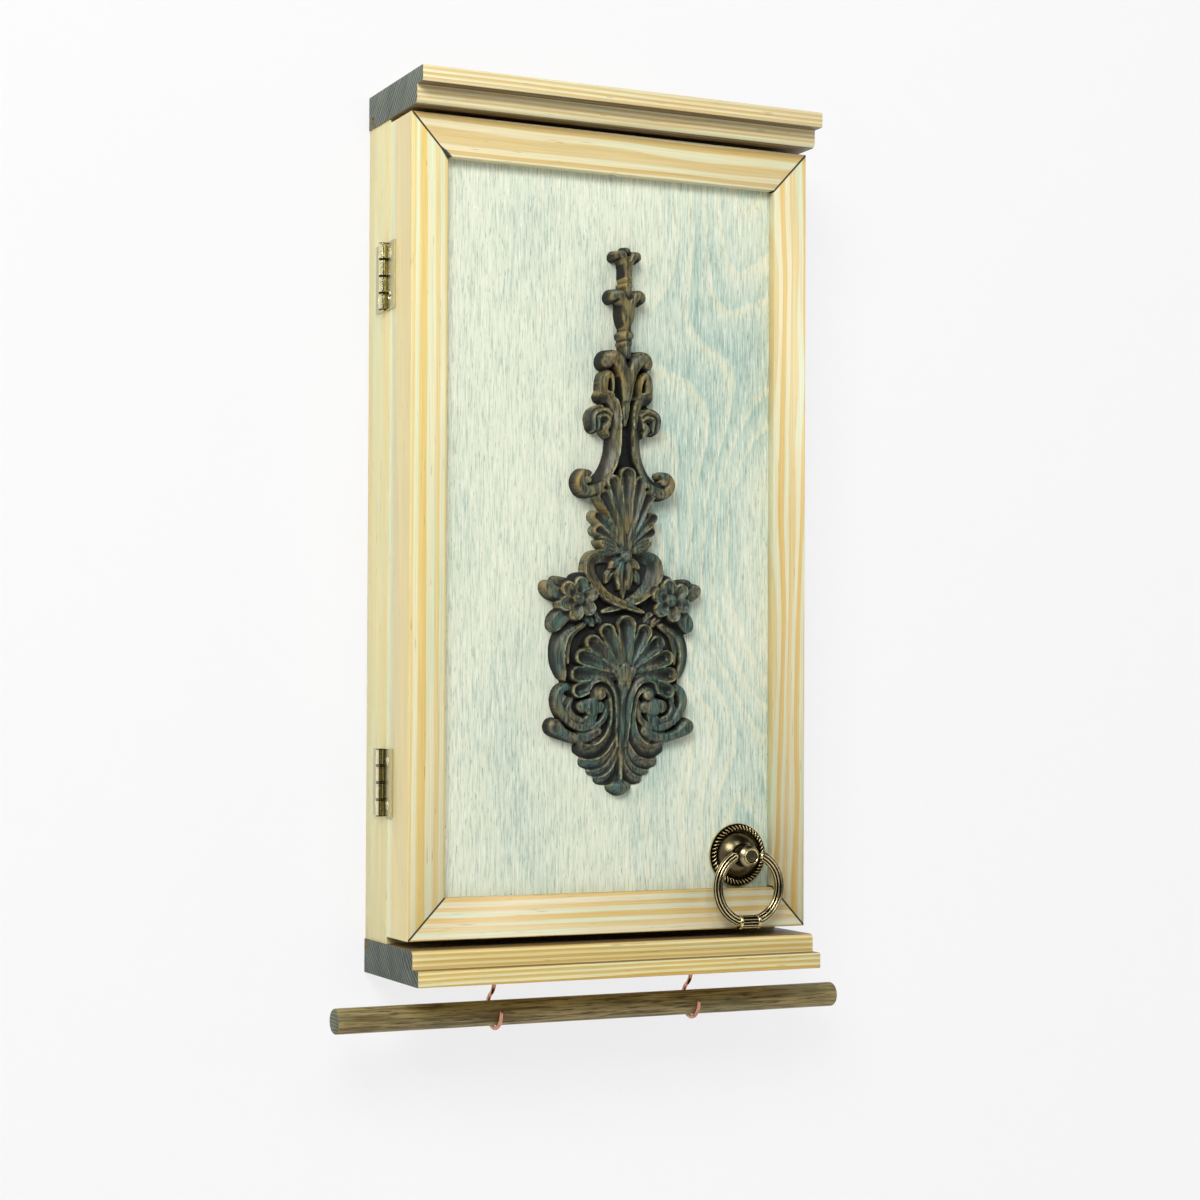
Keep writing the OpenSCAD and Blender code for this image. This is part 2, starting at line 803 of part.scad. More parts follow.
module strokes(list) {
    for (line = list, i = [1:len(line[1]) - 1])
        hull() {
            pebble(line[1][i - 1], line[0] * relief_h);
            pebble(line[1][i], line[0] * relief_h);
        }
}

module flower() {
    // Five petals around a ball
    translate(flower_at) {
        for (turn = [0:72:288])
            rotate([0, 0, turn + petal_turn])
                pebble([petal_out, 0, petal_r], 0.7 * relief_h);
        pebble([0, 0, petal_r], 0.85 * relief_h);
    }
}

module ornament() {
    color(bronze)
        translate([ornament_x, panel_front, (open_top + open_bottom) / 2 + ornament_up])
            rotate([90, 0, 0])
                scale([ornament_h / drawn_h, ornament_h / drawn_h, 1]) {
                    strokes(middle_strokes);
                    for (side = [0, 1])
                        mirror([side, 0, 0]) {
                            strokes(side_strokes);
                            flower();
                        }
                }
}

// Ring pull

module at_pull() {
    // Origin on the panel at the pull's middle, with +Z pointing at the viewer
    translate([pull_x, panel_front, pull_z]) rotate([90, 0, 0]) children();
}

module pull_rose() {
    // Flat edge, rope rim and dome, open in the middle for the boss's stem
    ball_r = (dome_r * dome_r + (dome_h - rose_edge_t) * (dome_h - rose_edge_t))
        / (2 * (dome_h - rose_edge_t));
    color(bronze)
        at_pull()
            rotate_extrude()
                difference() {
                    union() {
                        square([rose_r, rose_edge_t]);
                        translate([rose_r - rope_r - 0.3, rose_edge_t]) circle(rope_r);
                        intersection() {
                            translate([0, dome_h - ball_r]) circle(ball_r, $fn = 96);
                            square([dome_r, dome_h]);
                        }
                    }
                    translate([0, -2 * rope_r]) square([rose_r, 2 * rope_r]);
                    translate([0, seat_h]) square([rose_r, dome_h]);
                    translate([-2 * ball_r, -ball_r]) square([2 * ball_r + stem_r + snug, 3 * ball_r]);
                }
}

module pull_boss() {
    // Stem through the rose, body with the pivot holes, shoulder and a ringed flat face
    shoulder_h = boss_h - 1.8;
    body_foot = seat_h + snug;
    color(bronze)
        at_pull()
            difference() {
                rotate_extrude()
                    polygon([[0, 0], [stem_r, 0], [stem_r, body_foot], [boss_r - 0.5, body_foot],
                        [boss_r, body_foot + 0.6], [boss_r, shoulder_h - 0.6],
                        [boss_nose_r + 0.4, shoulder_h + 0.6], [boss_nose_r, boss_h - 0.3],
                        [boss_nose_r - 0.3, boss_h], [boss_nose_r - 0.9, boss_h],
                        [boss_nose_r - 1.2, boss_h - 0.4], [0, boss_h - 0.4]]);
                translate([0, 0, -past]) cylinder(h = boss_thread + past, r = pull_screw_r + snug);
                for (side = [-1, 1])
                    translate([side * (boss_r + past), 0, pivot_h])
                        rotate([0, -side * 90, 0])
                            cylinder(h = pivot_depth + pivot_end_gap + past, r = pivot_r + pivot_play);
            }
}

module pull_washer() {
    color(steel)
        translate([pull_x, panel_back + washer_t, pull_z])
            rotate([90, 0, 0])
                difference() {
                    cylinder(h = washer_t, r = washer_r);
                    translate([0, 0, -past]) cylinder(h = washer_t + 2 * past, r = pull_screw_r + snug);
                }
}

module pull_screw() {
    // Round-headed screw from inside the door into the boss
    head_h = 2.2;
    head_r = 3.6;
    reach = washer_t + panel_t + boss_thread - 0.5;
    color(steel)
        translate([pull_x, panel_back + washer_t, pull_z])
            rotate([90, 0, 0])
                difference() {
                    union() {
                        cylinder(h = reach, r = pull_screw_r);
                        translate([0, 0, -head_h]) cylinder(h = head_h, r1 = head_r - 1, r2 = head_r);
                    }
                    translate([-head_r, -0.4, -head_h - past]) cube([2 * head_r, 0.8, 1 + past]);
                }
}

module pull_ring() {
    // Ring that hangs from its two pivot pins, with a collared barrel at its lowest point
    color(bronze)
        translate([pull_x, pivot_y, pull_z])
            rotate([90, 0, 0]) {
                translate([0, -ring_drop, 0])
                    rotate([0, 0, 90 + ring_open])
                        rotate_extrude(angle = 360 - 2 * ring_open)
                            translate([ring_r, 0]) circle(ring_wire_r);
                for (side = [-1, 1])
                    translate([side * ring_end_x, 0, 0]) {
                        sphere(ring_wire_r - 0.5);
                        rotate([0, -side * 90, 0])
                            cylinder(h = ring_end_x - boss_r + pivot_depth, r = pivot_r);
                    }
                translate([-barrel_len / 2, -ring_drop - ring_r, 0])
                    rotate([0, 90, 0]) {
                        cylinder(h = barrel_len, r = barrel_r);
                        cylinder(h = collar_t, r = collar_r);
                        translate([0, 0, barrel_len - collar_t]) cylinder(h = collar_t, r = collar_r);
                    }
            }
}

crown_board();
base_board();
side_board_left();
side_board_right();
back_panel();
crown_screws();
base_screws();
peg_rail();
necklace_pegs();
earring_bar_upper();
earring_bar_lower();
tray_lip();
catch_magnet();
door_bumpers();
hinge_case_leaf_upper();
hinge_case_leaf_lower();
hinge_pin_upper();
hinge_pin_lower();
hinge_case_screws();
rod_hook_left();
rod_hook_right();
door_stile_left();
door_stile_right();
door_rail_top();
door_rail_bottom();
door_panel();
ornament();
hinge_door_leaf_upper();
hinge_door_leaf_lower();
hinge_door_screws();
strike_plate();
strike_screw();
pull_rose();
pull_boss();
pull_washer();
pull_screw();
pull_ring();
hanging_rod();
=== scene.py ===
"""Looks of the wall-hung jewellery cabinet: its boards, door, carving, ring pull, hinges and
hooks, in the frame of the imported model. Sizes in the code are millimetres."""

import json
import math

import bmesh
import bpy
import numpy as np
from mathutils import Matrix, Quaternion, Vector


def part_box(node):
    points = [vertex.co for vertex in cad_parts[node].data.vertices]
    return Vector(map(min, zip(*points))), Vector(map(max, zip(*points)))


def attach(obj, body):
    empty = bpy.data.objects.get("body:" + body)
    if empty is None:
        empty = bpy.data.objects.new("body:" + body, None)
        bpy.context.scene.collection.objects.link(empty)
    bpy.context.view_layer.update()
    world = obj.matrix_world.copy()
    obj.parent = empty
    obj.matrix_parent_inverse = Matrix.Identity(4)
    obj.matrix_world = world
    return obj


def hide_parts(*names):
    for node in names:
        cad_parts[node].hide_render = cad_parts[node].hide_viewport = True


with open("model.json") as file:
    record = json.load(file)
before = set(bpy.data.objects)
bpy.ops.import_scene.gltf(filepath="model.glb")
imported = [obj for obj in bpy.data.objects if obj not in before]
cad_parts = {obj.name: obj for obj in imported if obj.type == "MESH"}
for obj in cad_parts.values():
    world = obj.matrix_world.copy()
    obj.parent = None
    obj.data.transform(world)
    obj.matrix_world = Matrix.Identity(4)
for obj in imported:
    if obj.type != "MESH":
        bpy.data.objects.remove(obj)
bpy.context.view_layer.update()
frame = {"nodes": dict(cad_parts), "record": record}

MM = 0.001
CAD = frame["nodes"]
BODY_OF = {n: b for b, names in frame["record"]["behaviour"]["bodies"].items() for n in names}


def low_corner(node):
    return [round(v / MM, 2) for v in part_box(node)[0]]


def high_corner(node):
    return [round(v / MM, 2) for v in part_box(node)[1]]


def middle_of(node):
    """The middle of a node's box, in millimetres."""
    return [round((low + high) / 2 / MM, 2) for low, high in zip(*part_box(node))]


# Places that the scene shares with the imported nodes
PANEL_FACE = low_corner("door_panel")[1]
DOOR_HALF_WIDTH = high_corner("door_stile_right")[0]
DOOR_MIDDLE_Z = middle_of("door_stile_left")[2]
DOOR_HALF_HEIGHT = high_corner("door_stile_left")[2] - DOOR_MIDDLE_Z
HINGE_PIN = tuple(middle_of("hinge_pin_upper")[:2])
HINGE_MIDDLES = {end: middle_of("hinge_pin_" + end)[2] for end in ("upper", "lower")}
PULL_X, _, PULL_Z = middle_of("pull_rose")
PIVOT_Y = middle_of("pull_ring")[1]


def tone(red, green, blue):
    """A colour written as 0 to 255 display values."""
    def linear(v):
        v /= 255
        return v / 12.92 if v <= 0.04045 else ((v + 0.055) / 1.055) ** 2.4
    return (linear(red), linear(green), linear(blue), 1)


def placed(name, data):
    """A new object in the scene that carries data."""
    made = bpy.data.objects.new(name, data)
    bpy.context.scene.collection.objects.link(made)
    return made


def mesh_of(name, points, faces=(), edges=()):
    """A mesh of points in millimetres."""
    data = bpy.data.meshes.new(name)
    data.from_pydata([tuple(float(c) * MM for c in p) for p in points], list(edges), list(faces))
    return data


def set_mark(data, name, values, kind="FLOAT", field="value"):
    """Stores a value for each point of a mesh, for the materials and tools to read."""
    data.attributes.new(name, kind, "POINT").data.foreach_set(
        field, np.asarray(values, float).ravel())


# Node trees

class Graph:
    """Short calls that build one node tree."""

    def __init__(self, tree):
        self.tree = tree

    def add(self, kind, ins=None, out=0, **props):
        made = self.tree.nodes.new(kind)
        for key, value in props.items():
            setattr(made, key, value)
        for key, value in (ins or {}).items():
            if isinstance(value, bpy.types.NodeSocket):
                self.tree.links.new(value, made.inputs[key])
            else:
                made.inputs[key].default_value = value
        return made if out is None else made.outputs[out]

    def math(self, operation, *values, clamp=False):
        return self.add("ShaderNodeMath", dict(enumerate(values)), operation=operation,
                        use_clamp=clamp)

    def highest(self, first, *others):
        for other in others:
            first = self.math("MAXIMUM", first, other)
        return first

    def vector(self, operation, *values, out=0):
        return self.add("ShaderNodeVectorMath", dict(enumerate(values)), out=out,
                        operation=operation)

    def dot(self, a, b):
        return self.vector("DOT_PRODUCT", a, b, out="Value")

    def xyz(self, x=0.0, y=0.0, z=0.0):
        return self.add("ShaderNodeCombineXYZ", {0: x, 1: y, 2: z})

    def measured(self, spot, first, second, third):
        """A spot measured along three directions of its own."""
        return self.xyz(self.dot(spot, first), self.dot(spot, second), self.dot(spot, third))

    def split(self, vector):
        return self.add("ShaderNodeSeparateXYZ", {0: vector}, out=None).outputs

    def noise(self, at, stretch=(1, 1, 1), detail=2, rough=0.5):
        return self.add("ShaderNodeTexNoise", {
            "Vector": self.vector("MULTIPLY", at, stretch), "Scale": 1.0, "Detail": detail,
            "Roughness": rough})

    def mark(self, name):
        """A value that the mesh stores for each of its points."""
        return self.add("ShaderNodeAttribute", out="Fac", attribute_name=name)

    def ease(self, value, low, high, start=0.0, end=1.0):
        """Start below low, end above high, and a smooth step between them."""
        return self.add("ShaderNodeMapRange", {
            "Value": value, "From Min": low, "From Max": high, "To Min": start, "To Max": end},
            interpolation_type="SMOOTHSTEP")

    def mix(self, share, a, b, blend="MIX"):
        """A blend of two colours; 6 and 7 are the node's colour inputs, 2 its colour output."""
        return self.add("ShaderNodeMix", {0: share, 6: a, 7: b}, out=2, data_type="RGBA",
                        blend_type=blend)

    def ramp(self, value, stops):
        made = self.add("ShaderNodeValToRGB", {0: value}, out=None)
        made.color_ramp.interpolation = "EASE"
        while len(made.color_ramp.elements) < len(stops):
            made.color_ramp.elements.new(1)
        for mark, (place, level) in zip(made.color_ramp.elements, stops):
            mark.position, mark.color = place, (level, level, level, 1)
        return made.outputs[0]


def named_tree(name, kind, ins, outs):
    """A node group with named inputs and outputs: its graph and its input values."""
    tree = bpy.data.node_groups.new(name, kind)
    for label, sort, value in ins:
        socket = tree.interface.new_socket(label, in_out="INPUT",
                                           socket_type="NodeSocket" + sort)
        if value is not None:
            socket.default_value = value
    for label, sort in outs:
        tree.interface.new_socket(label, in_out="OUTPUT", socket_type="NodeSocket" + sort)
    graph = Graph(tree)
    return graph, graph.add("NodeGroupInput", out=None).outputs


SURFACE_OUTS = [("Color", "Color"), ("Roughness", "Float"), ("Height", "Float")]


def effect(name, ins, outs=SURFACE_OUTS):
    """A shader node group: its graph, its inputs and a function that wires its outputs."""
    graph, at = named_tree(name, "ShaderNodeTree", ins, outs)
    return graph, at, lambda values: graph.add("NodeGroupOutput", values, out=None)


def use(graph, name, ins):
    """Places an effect in a material and gives its outputs."""
    return graph.add("ShaderNodeGroup", ins, out=None,
                     node_tree=bpy.data.node_groups[name]).outputs


def empty_tree(owner):
    """The graph of a material or world, with its first nodes removed."""
    owner.use_nodes = True
    owner.node_tree.nodes.clear()
    return Graph(owner.node_tree)


def material(name):
    """A new material: its graph and a point on the object in millimetres."""
    graph = empty_tree(bpy.data.materials.new(name))
    spot = graph.add("ShaderNodeTexCoord", out="Object")
    return graph, graph.vector("MULTIPLY", spot, (1000, 1000, 1000))


def surface(graph, color, roughness, height, relief=0.1, **fixed):
    """Closes a material; relief is the height's full size in millimetres."""
    bump = graph.add("ShaderNodeBump", {"Height": height, "Strength": 1.0,
                                        "Distance": relief * MM})
    values = {"Base Color": color, "Roughness": roughness, "Normal": bump}
    values.update({key.replace("_", " "): value for key, value in fixed.items()})
    shader = graph.add("ShaderNodeBsdfPrincipled", values)
    graph.add("ShaderNodeOutputMaterial", {0: shader}, out=None)


def stained_surface(graph, effect_name, ins, relief, **fixed):
    """Closes a material whose colour, roughness and height all come from one effect."""
    made = use(graph, effect_name, ins)
    surface(graph, made["Color"], made["Roughness"], made["Height"], relief, **fixed)


# Camera and lamps, placed in metres, and the backdrop round them

CAMERA_AT = (-0.5009, -1.1033, -0.2790)
CAMERA_TURN, CAMERA_TILT, CAMERA_ROLL = 25.237, 0.946, 0.241
CAMERA_SENSOR, CAMERA_LENS, CAMERA_SHIFT = 36, 72.94, 0.0458
LAMPS_AIM = (0, -0.05, -0.2)
WINDOW_WAY = (-0.75, 0.3, 0.45)
SHADE_LEVEL, GLOSSY_SHADE, PALE_LEVEL = 0.23, -0.19, 0.74


def set_camera():
    """The photo's own view, as solved from the corners of the boards."""
    turn, tilt, roll = (math.radians(v) for v in (CAMERA_TURN, CAMERA_TILT, CAMERA_ROLL))
    ahead = Vector((math.sin(turn) * math.cos(tilt), math.cos(turn) * math.cos(tilt),
                    math.sin(tilt)))
    right = Vector((math.cos(turn), -math.sin(turn), 0))
    up = right.cross(ahead)
    across = math.cos(roll) * right + math.sin(roll) * up
    upward = math.cos(roll) * up - math.sin(roll) * right
    pose = Matrix((across, upward, -ahead)).transposed().to_4x4()
    pose.translation = CAMERA_AT
    data = bpy.data.cameras.new("camera")
    data.sensor_width, data.lens, data.shift_y = CAMERA_SENSOR, CAMERA_LENS, CAMERA_SHIFT
    camera = placed("camera", data)
    camera.matrix_world = pose
    bpy.context.scene.camera = camera


def soft_lamp(name, at, size, power):
    """A square soft lamp turned towards the cabinet."""
    data = bpy.data.lights.new(name, "AREA")
    data.shape, data.size, data.size_y, data.energy = "RECTANGLE", size, size, power
    lamp = placed(name, data)
    lamp.location = at
    lamp.rotation_euler = (Vector(LAMPS_AIM) - Vector(at)).to_track_quat("-Z", "Y").to_euler()


def make_light():
    """Four soft lamps in a pale room, which glossy faces see only towards its window."""
    scene = bpy.context.scene
    scene.view_settings.view_transform = "Standard"
    scene.world = bpy.data.worlds.new("room")
    g = empty_tree(scene.world)
    path = g.add("ShaderNodeLightPath", out=None).outputs
    toward = g.dot(g.add("ShaderNodeTexCoord", out="Object"), WINDOW_WAY)
    window = g.math("MULTIPLY", path["Is Glossy Ray"], g.ease(toward, 0.2, 0.62))
    pale = g.highest(path["Is Camera Ray"], window, path["Is Transmission Ray"])
    shade = g.math("MULTIPLY_ADD", path["Is Glossy Ray"], GLOSSY_SHADE, SHADE_LEVEL)
    sky = g.add("ShaderNodeBackground", {
        "Color": (1, 1, 1, 1), "Strength": g.math("MULTIPLY_ADD", pale, PALE_LEVEL, shade)})
    g.add("ShaderNodeOutputWorld", {0: sky}, out=None)
    for name, at, size, power in (("key", (-0.9, -1.35, 0.75), 0.8, 27),
                                  ("fill", (1.75, -0.95, 0.3), 1.0, 6),
                                  ("top_window", (0.15, -1.25, 0.9), 0.4, 4),
                                  ("back_fill", (-0.4, 1.6, 0.8), 1.4, 10)):
        soft_lamp(name, at, size, power)


def make_backdrop_paint():
    """Pale paint that shows near white to the camera and in gloss, and clear from behind."""
    backdrop = bpy.data.materials.new("backdrop")
    g = empty_tree(backdrop)
    path = g.add("ShaderNodeLightPath", out=None).outputs
    seen = g.highest(path["Is Camera Ray"], path["Is Glossy Ray"], path["Is Transmission Ray"])
    paint = g.add("ShaderNodeBsdfDiffuse", {"Color": (0.86, 0.86, 0.87, 1)})
    glow = g.add("ShaderNodeEmission", {"Color": (0.95, 0.95, 0.96, 1), "Strength": 1.0})
    lit = g.add("ShaderNodeMixShader", {0: g.math("MULTIPLY", seen, 0.8), 1: paint, 2: glow})
    behind = g.add("ShaderNodeNewGeometry", out="Backfacing")
    clear = g.add("ShaderNodeBsdfTransparent")
    g.add("ShaderNodeOutputMaterial", {0: g.add("ShaderNodeMixShader",
                                                {0: behind, 1: lit, 2: clear})}, out=None)
    return backdrop


def make_stage():
    """Plain wall that curves into a floor, open behind the cabinet."""
    wall_y, wall_top, floor_z, curve, reach = 0.6, 1500.0, -950.0, 300.0, 3000.0
    hole_x, hole_low, hole_high = 104.0, -411.0, 7.0
    foot = floor_z + curve
    columns = [-reach, -hole_x, hole_x, reach]
    rows = [foot, hole_low, hole_high, wall_top]
    panels = []
    for i, (left, right) in enumerate(zip(columns, columns[1:])):
        for j, (low, high) in enumerate(zip(rows, rows[1:])):
            if (i, j) != (1, 1):
                panels.append([(left, wall_y, low), (right, wall_y, low),
                               (right, wall_y, high), (left, wall_y, high)])
    bend = [(wall_y - curve * (1 - math.cos(t)), foot - curve * math.sin(t))
            for t in np.linspace(0, math.pi / 2, 17)] + [(-reach, floor_z)]
    for (y0, z0), (y1, z1) in zip(bend, bend[1:]):
        panels.append([(-reach, y1, z1), (reach, y1, z1), (reach, y0, z0), (-reach, y0, z0)])
    points = [corner for panel in panels for corner in panel]
    data = mesh_of("wall_and_floor", points,
                   [tuple(range(4 * k, 4 * k + 4)) for k in range(len(panels))])
    data.materials.append(make_backdrop_paint())
    data.polygons.foreach_set("use_smooth", [True] * len(data.polygons))
    placed("wall_and_floor", data)


# Woods and stains

UP, RIGHT = (0, 0, 1), (1, 0, 0)
MITRE_ACROSS, MITRE_DOWN = 0.7348, 0.6782
STAIN_HALF, STAIN_SPREAD = 0.6, 1.3


def pine_rings_effect():
    """Growth rings of uneven depth across the grain, under fine fibres and short dashes."""
    g, at, close = effect("pine_rings", [
        ("Grain", "Vector", None), ("Ring Pitch", "Float", 5.6), ("Ring Shift", "Float", 0.0),
        ("Waviness", "Float", 1.0), ("Pale", "Color", tone(240, 236, 206)),
        ("Gold", "Color", tone(235, 203, 118)), ("Tint", "Color", tone(214, 230, 204)),
        ("Tint Share", "Float", 0.5), ("Gold Share", "Float", 1.0),
        ("Crowding", "Float", 1.6)])
    shift = g.xyz(g.math("MULTIPLY", at["Ring Shift"], 91.0),
                  g.math("MULTIPLY", at["Ring Shift"], 7.0), 3.0)
    spot = g.vector("ADD", at["Grain"], shift)
    across = g.split(at["Grain"])[1]
    bend = g.math("SUBTRACT", g.noise(spot, (0.006, 0.03, 0.03), 2), 0.5)
    crowd = g.math("SUBTRACT", g.noise(spot, (0.001, 0.11, 0.11), 1), 0.5)
    place = g.math("ADD", across, g.math("ADD", g.math(
        "MULTIPLY", bend, g.math("MULTIPLY", at["Waviness"], 9.0)),
        g.math("MULTIPLY", crowd, g.math("MULTIPLY", at["Ring Pitch"], at["Crowding"]))))
    ring = g.math("ADD", g.math("DIVIDE", place, at["Ring Pitch"]), at["Ring Shift"])
    lot = g.add("ShaderNodeTexWhiteNoise", {"W": g.math("FLOOR", ring)},
                noise_dimensions="1D")
    band = g.ramp(g.math("FRACT", ring), [
        (0.0, 0.1), (0.05, 0.0), (0.38, 0.0), (0.5, 0.8), (0.72, 0.86), (0.88, 1.0),
        (0.95, 0.9), (1.0, 0.1)])
    band = g.math("MULTIPLY", band, g.math("MULTIPLY_ADD", lot, 0.4, 0.66), clamp=True)
    fibre = g.noise(spot, (0.02, 2.6, 2.6), 4, 0.65)
    patch = g.noise(spot, (0.012, 0.16, 0.16), 3, 0.6)
    share = g.math("MULTIPLY", band, at["Gold Share"])
    pale = g.mix(g.math("MULTIPLY", g.ease(patch, 0.42, 0.66), at["Tint Share"]),
                 at["Pale"], at["Tint"])
    color = g.mix(share, pale, at["Gold"])
    color = g.mix(0.5, color, g.mix(g.ease(fibre, 0.3, 0.7), tone(222, 212, 176),
                                    tone(255, 255, 250)), "MULTIPLY")
    dash = g.ease(g.noise(spot, (0.07, 1.5, 1.5), 1), 0.73, 0.79)
    color = g.mix(g.math("MULTIPLY", dash, 0.6), color, tone(150, 118, 62))
    height = g.math("SUBTRACT", g.math("MULTIPLY_ADD", band, 0.35, fibre),
                    g.math("MULTIPLY", dash, 0.8))
    rough = g.math("MULTIPLY_ADD", fibre, 0.24, g.math("MULTIPLY_ADD", band, -0.1, 0.42))
    close({"Color": color, "Roughness": rough, "Height": height})


def end_grain_effect():
    """The rings, pores and patches of a sawn end."""
    g, at, close = effect("end_grain", [
        ("Grain", "Vector", None), ("Ring Pitch", "Float", 2.2),
        ("Deep", "Color", tone(48, 56, 50)), ("Light", "Color", tone(156, 164, 148))])
    across = g.split(at["Grain"])[1]
    bend = g.noise(at["Grain"], (0.05, 0.05, 0.05), 2)
    ring = g.math("DIVIDE", g.math("MULTIPLY_ADD", bend, 7.0, across), at["Ring Pitch"])
    band = g.ramp(g.math("FRACT", ring), [(0.0, 0.0), (0.45, 0.35), (0.85, 1.0), (1.0, 0.0)])
    pores = g.noise(at["Grain"], (1.3, 1.3, 1.3), 3, 0.7)
    patch = g.noise(at["Grain"], (0.12, 0.12, 0.12), 3, 0.6)
    share = g.math("MULTIPLY_ADD", band, 0.7, g.math("MULTIPLY", g.ease(pores, 0.3, 0.7), 0.15))
    share = g.math("MULTIPLY", share, g.ease(patch, 0.25, 0.7, 0.55, 1.1), clamp=True)
    close({"Color": g.mix(share, at["Deep"], at["Light"]),
           "Roughness": g.math("MULTIPLY_ADD", share, -0.15, 0.8),
           "Height": g.math("ADD", pores, band)})


def washed_ply_effect():
    """Rotary-cut ply under a thin blue-green wash, with short flecks along the grain."""
    g, at, close = effect("washed_ply", [
        ("Grain", "Vector", None), ("Blue Share", "Float", 1.0),
        ("Pale", "Color", tone(222, 226, 203)), ("Blue", "Color", tone(166, 192, 178)),
        ("Fleck", "Color", tone(108, 142, 138))])
    spot = at["Grain"]
    across = g.split(spot)[1]
    wide = g.noise(spot, (0.008, 0.015, 0.02), 2, 0.45)
    right = g.math("MULTIPLY", across, 0.0008)
    pool = g.ease(g.math("ADD", wide, right), 0.42, 0.66)
    contour = g.math("MULTIPLY", g.noise(spot, (0.0065, 0.011, 0.01), 1, 0.4), 17.0)
    ring = g.math("FRACT", g.math("MULTIPLY_ADD", g.noise(spot, (0.05, 0.3, 0.2), 2), 0.3,
                                  contour))
    figure = g.ease(g.math("MULTIPLY_ADD", wide, 160.0, across), 60.0, 130.0)
    line = g.math("MULTIPLY", g.math("MULTIPLY", g.ease(ring, 0.36, 0.12), figure),
                  g.ease(ring, 0.0, 0.1))
    shade = g.math("MULTIPLY", g.ease(ring, 0.35, 1.0), figure)
    long = g.noise(spot, (0.035, 1.3, 1.3), 3, 0.6)
    fleck = g.noise(g.vector("ADD", spot, (37, 0, 0)), (0.12, 1.7, 1.7), 3, 0.6)
    blue = g.math("ADD", g.math("MULTIPLY", pool, 0.45), g.math("MULTIPLY", shade, 0.26))
    blue = g.math("ADD", blue, g.math("MULTIPLY", g.ease(long, 0.4, 0.64), 0.26))
    color = g.mix(g.math("MULTIPLY", blue, at["Blue Share"], clamp=True), at["Pale"], at["Blue"])
    color = g.mix(g.math("MULTIPLY", line, 0.4), color, tone(230, 224, 188))
    color = g.mix(g.math("MULTIPLY", g.ease(fleck, 0.5, 0.68),
                         g.math("MULTIPLY_ADD", pool, 0.25, 0.42)), color, at["Fleck"])
    color = g.mix(g.math("MULTIPLY", g.ease(fleck, 0.46, 0.3), 0.7), color,
                  tone(240, 241, 226))
    tick = g.ease(g.noise(g.vector("ADD", spot, (0, 90, 0)), (0.17, 1.4, 1.4), 1), 0.68, 0.74)
    color = g.mix(g.math("MULTIPLY", tick, 0.55), color, tone(106, 124, 112))
    close({"Color": color, "Roughness": g.math("MULTIPLY_ADD", fleck, 0.25, 0.5),
           "Height": g.math("MULTIPLY_ADD", long, 0.4, g.math("MULTIPLY", fleck, -1.0))})


def mitre_stain_effect():
    """Dark stain in the four mitre joints, widest at the inner end of the upper left one."""
    g, at, close = effect("mitre_stain", [("Spot", "Vector", None), ("Color", "Color", None)],
                          [("Color", "Color")])
    x, _, z = g.split(at["Spot"])
    low = g.math("SUBTRACT", DOOR_HALF_HEIGHT,
                 g.math("ABSOLUTE", g.math("SUBTRACT", z, DOOR_MIDDLE_Z)))
    side = g.math("SUBTRACT", DOOR_HALF_WIDTH, g.math("ABSOLUTE", x))
    off = g.math("ABSOLUTE", g.math("SUBTRACT", g.math("MULTIPLY", side, MITRE_ACROSS),
                                    g.math("MULTIPLY", low, MITRE_DOWN)))
    upper_left = g.math("MULTIPLY", g.math("LESS_THAN", x, 0.0),
                        g.math("GREATER_THAN", z, DOOR_MIDDLE_Z))
    inner_end = g.ease(side, 14.0, 18.4, 0.0, STAIN_SPREAD)
    wide = g.math("MULTIPLY_ADD", inner_end, upper_left, STAIN_HALF)
    line = g.ease(g.math("DIVIDE", off, wide), 1.0, 0.5)
    close({"Color": g.mix(g.math("MULTIPLY", line, 0.97), at["Color"], tone(8, 20, 20))})


def pine(name, along, across, pitch, shift, wave, tint, pale, gold, mitred=False, **more):
    """Sawn pine whose grain runs along one way and whose rings lie across another."""
    g, spot = material(name)
    ins = {"Grain": g.xyz(g.dot(spot, along), g.dot(spot, across)), "Ring Pitch": pitch,
           "Ring Shift": shift, "Waviness": wave, "Tint Share": tint, "Pale": tone(*pale),
           "Gold": tone(*gold)}
    ins.update({key.replace("_", " "): value for key, value in more.items()})
    wood = use(g, "pine_rings", ins)
    color = wood["Color"]
    if mitred:
        color = use(g, "mitre_stain", {"Spot": spot, "Color": color})["Color"]
    surface(g, color, wood["Roughness"], wood["Height"], 0.06, Coat_Weight=0.12,
            Coat_Roughness=0.35)


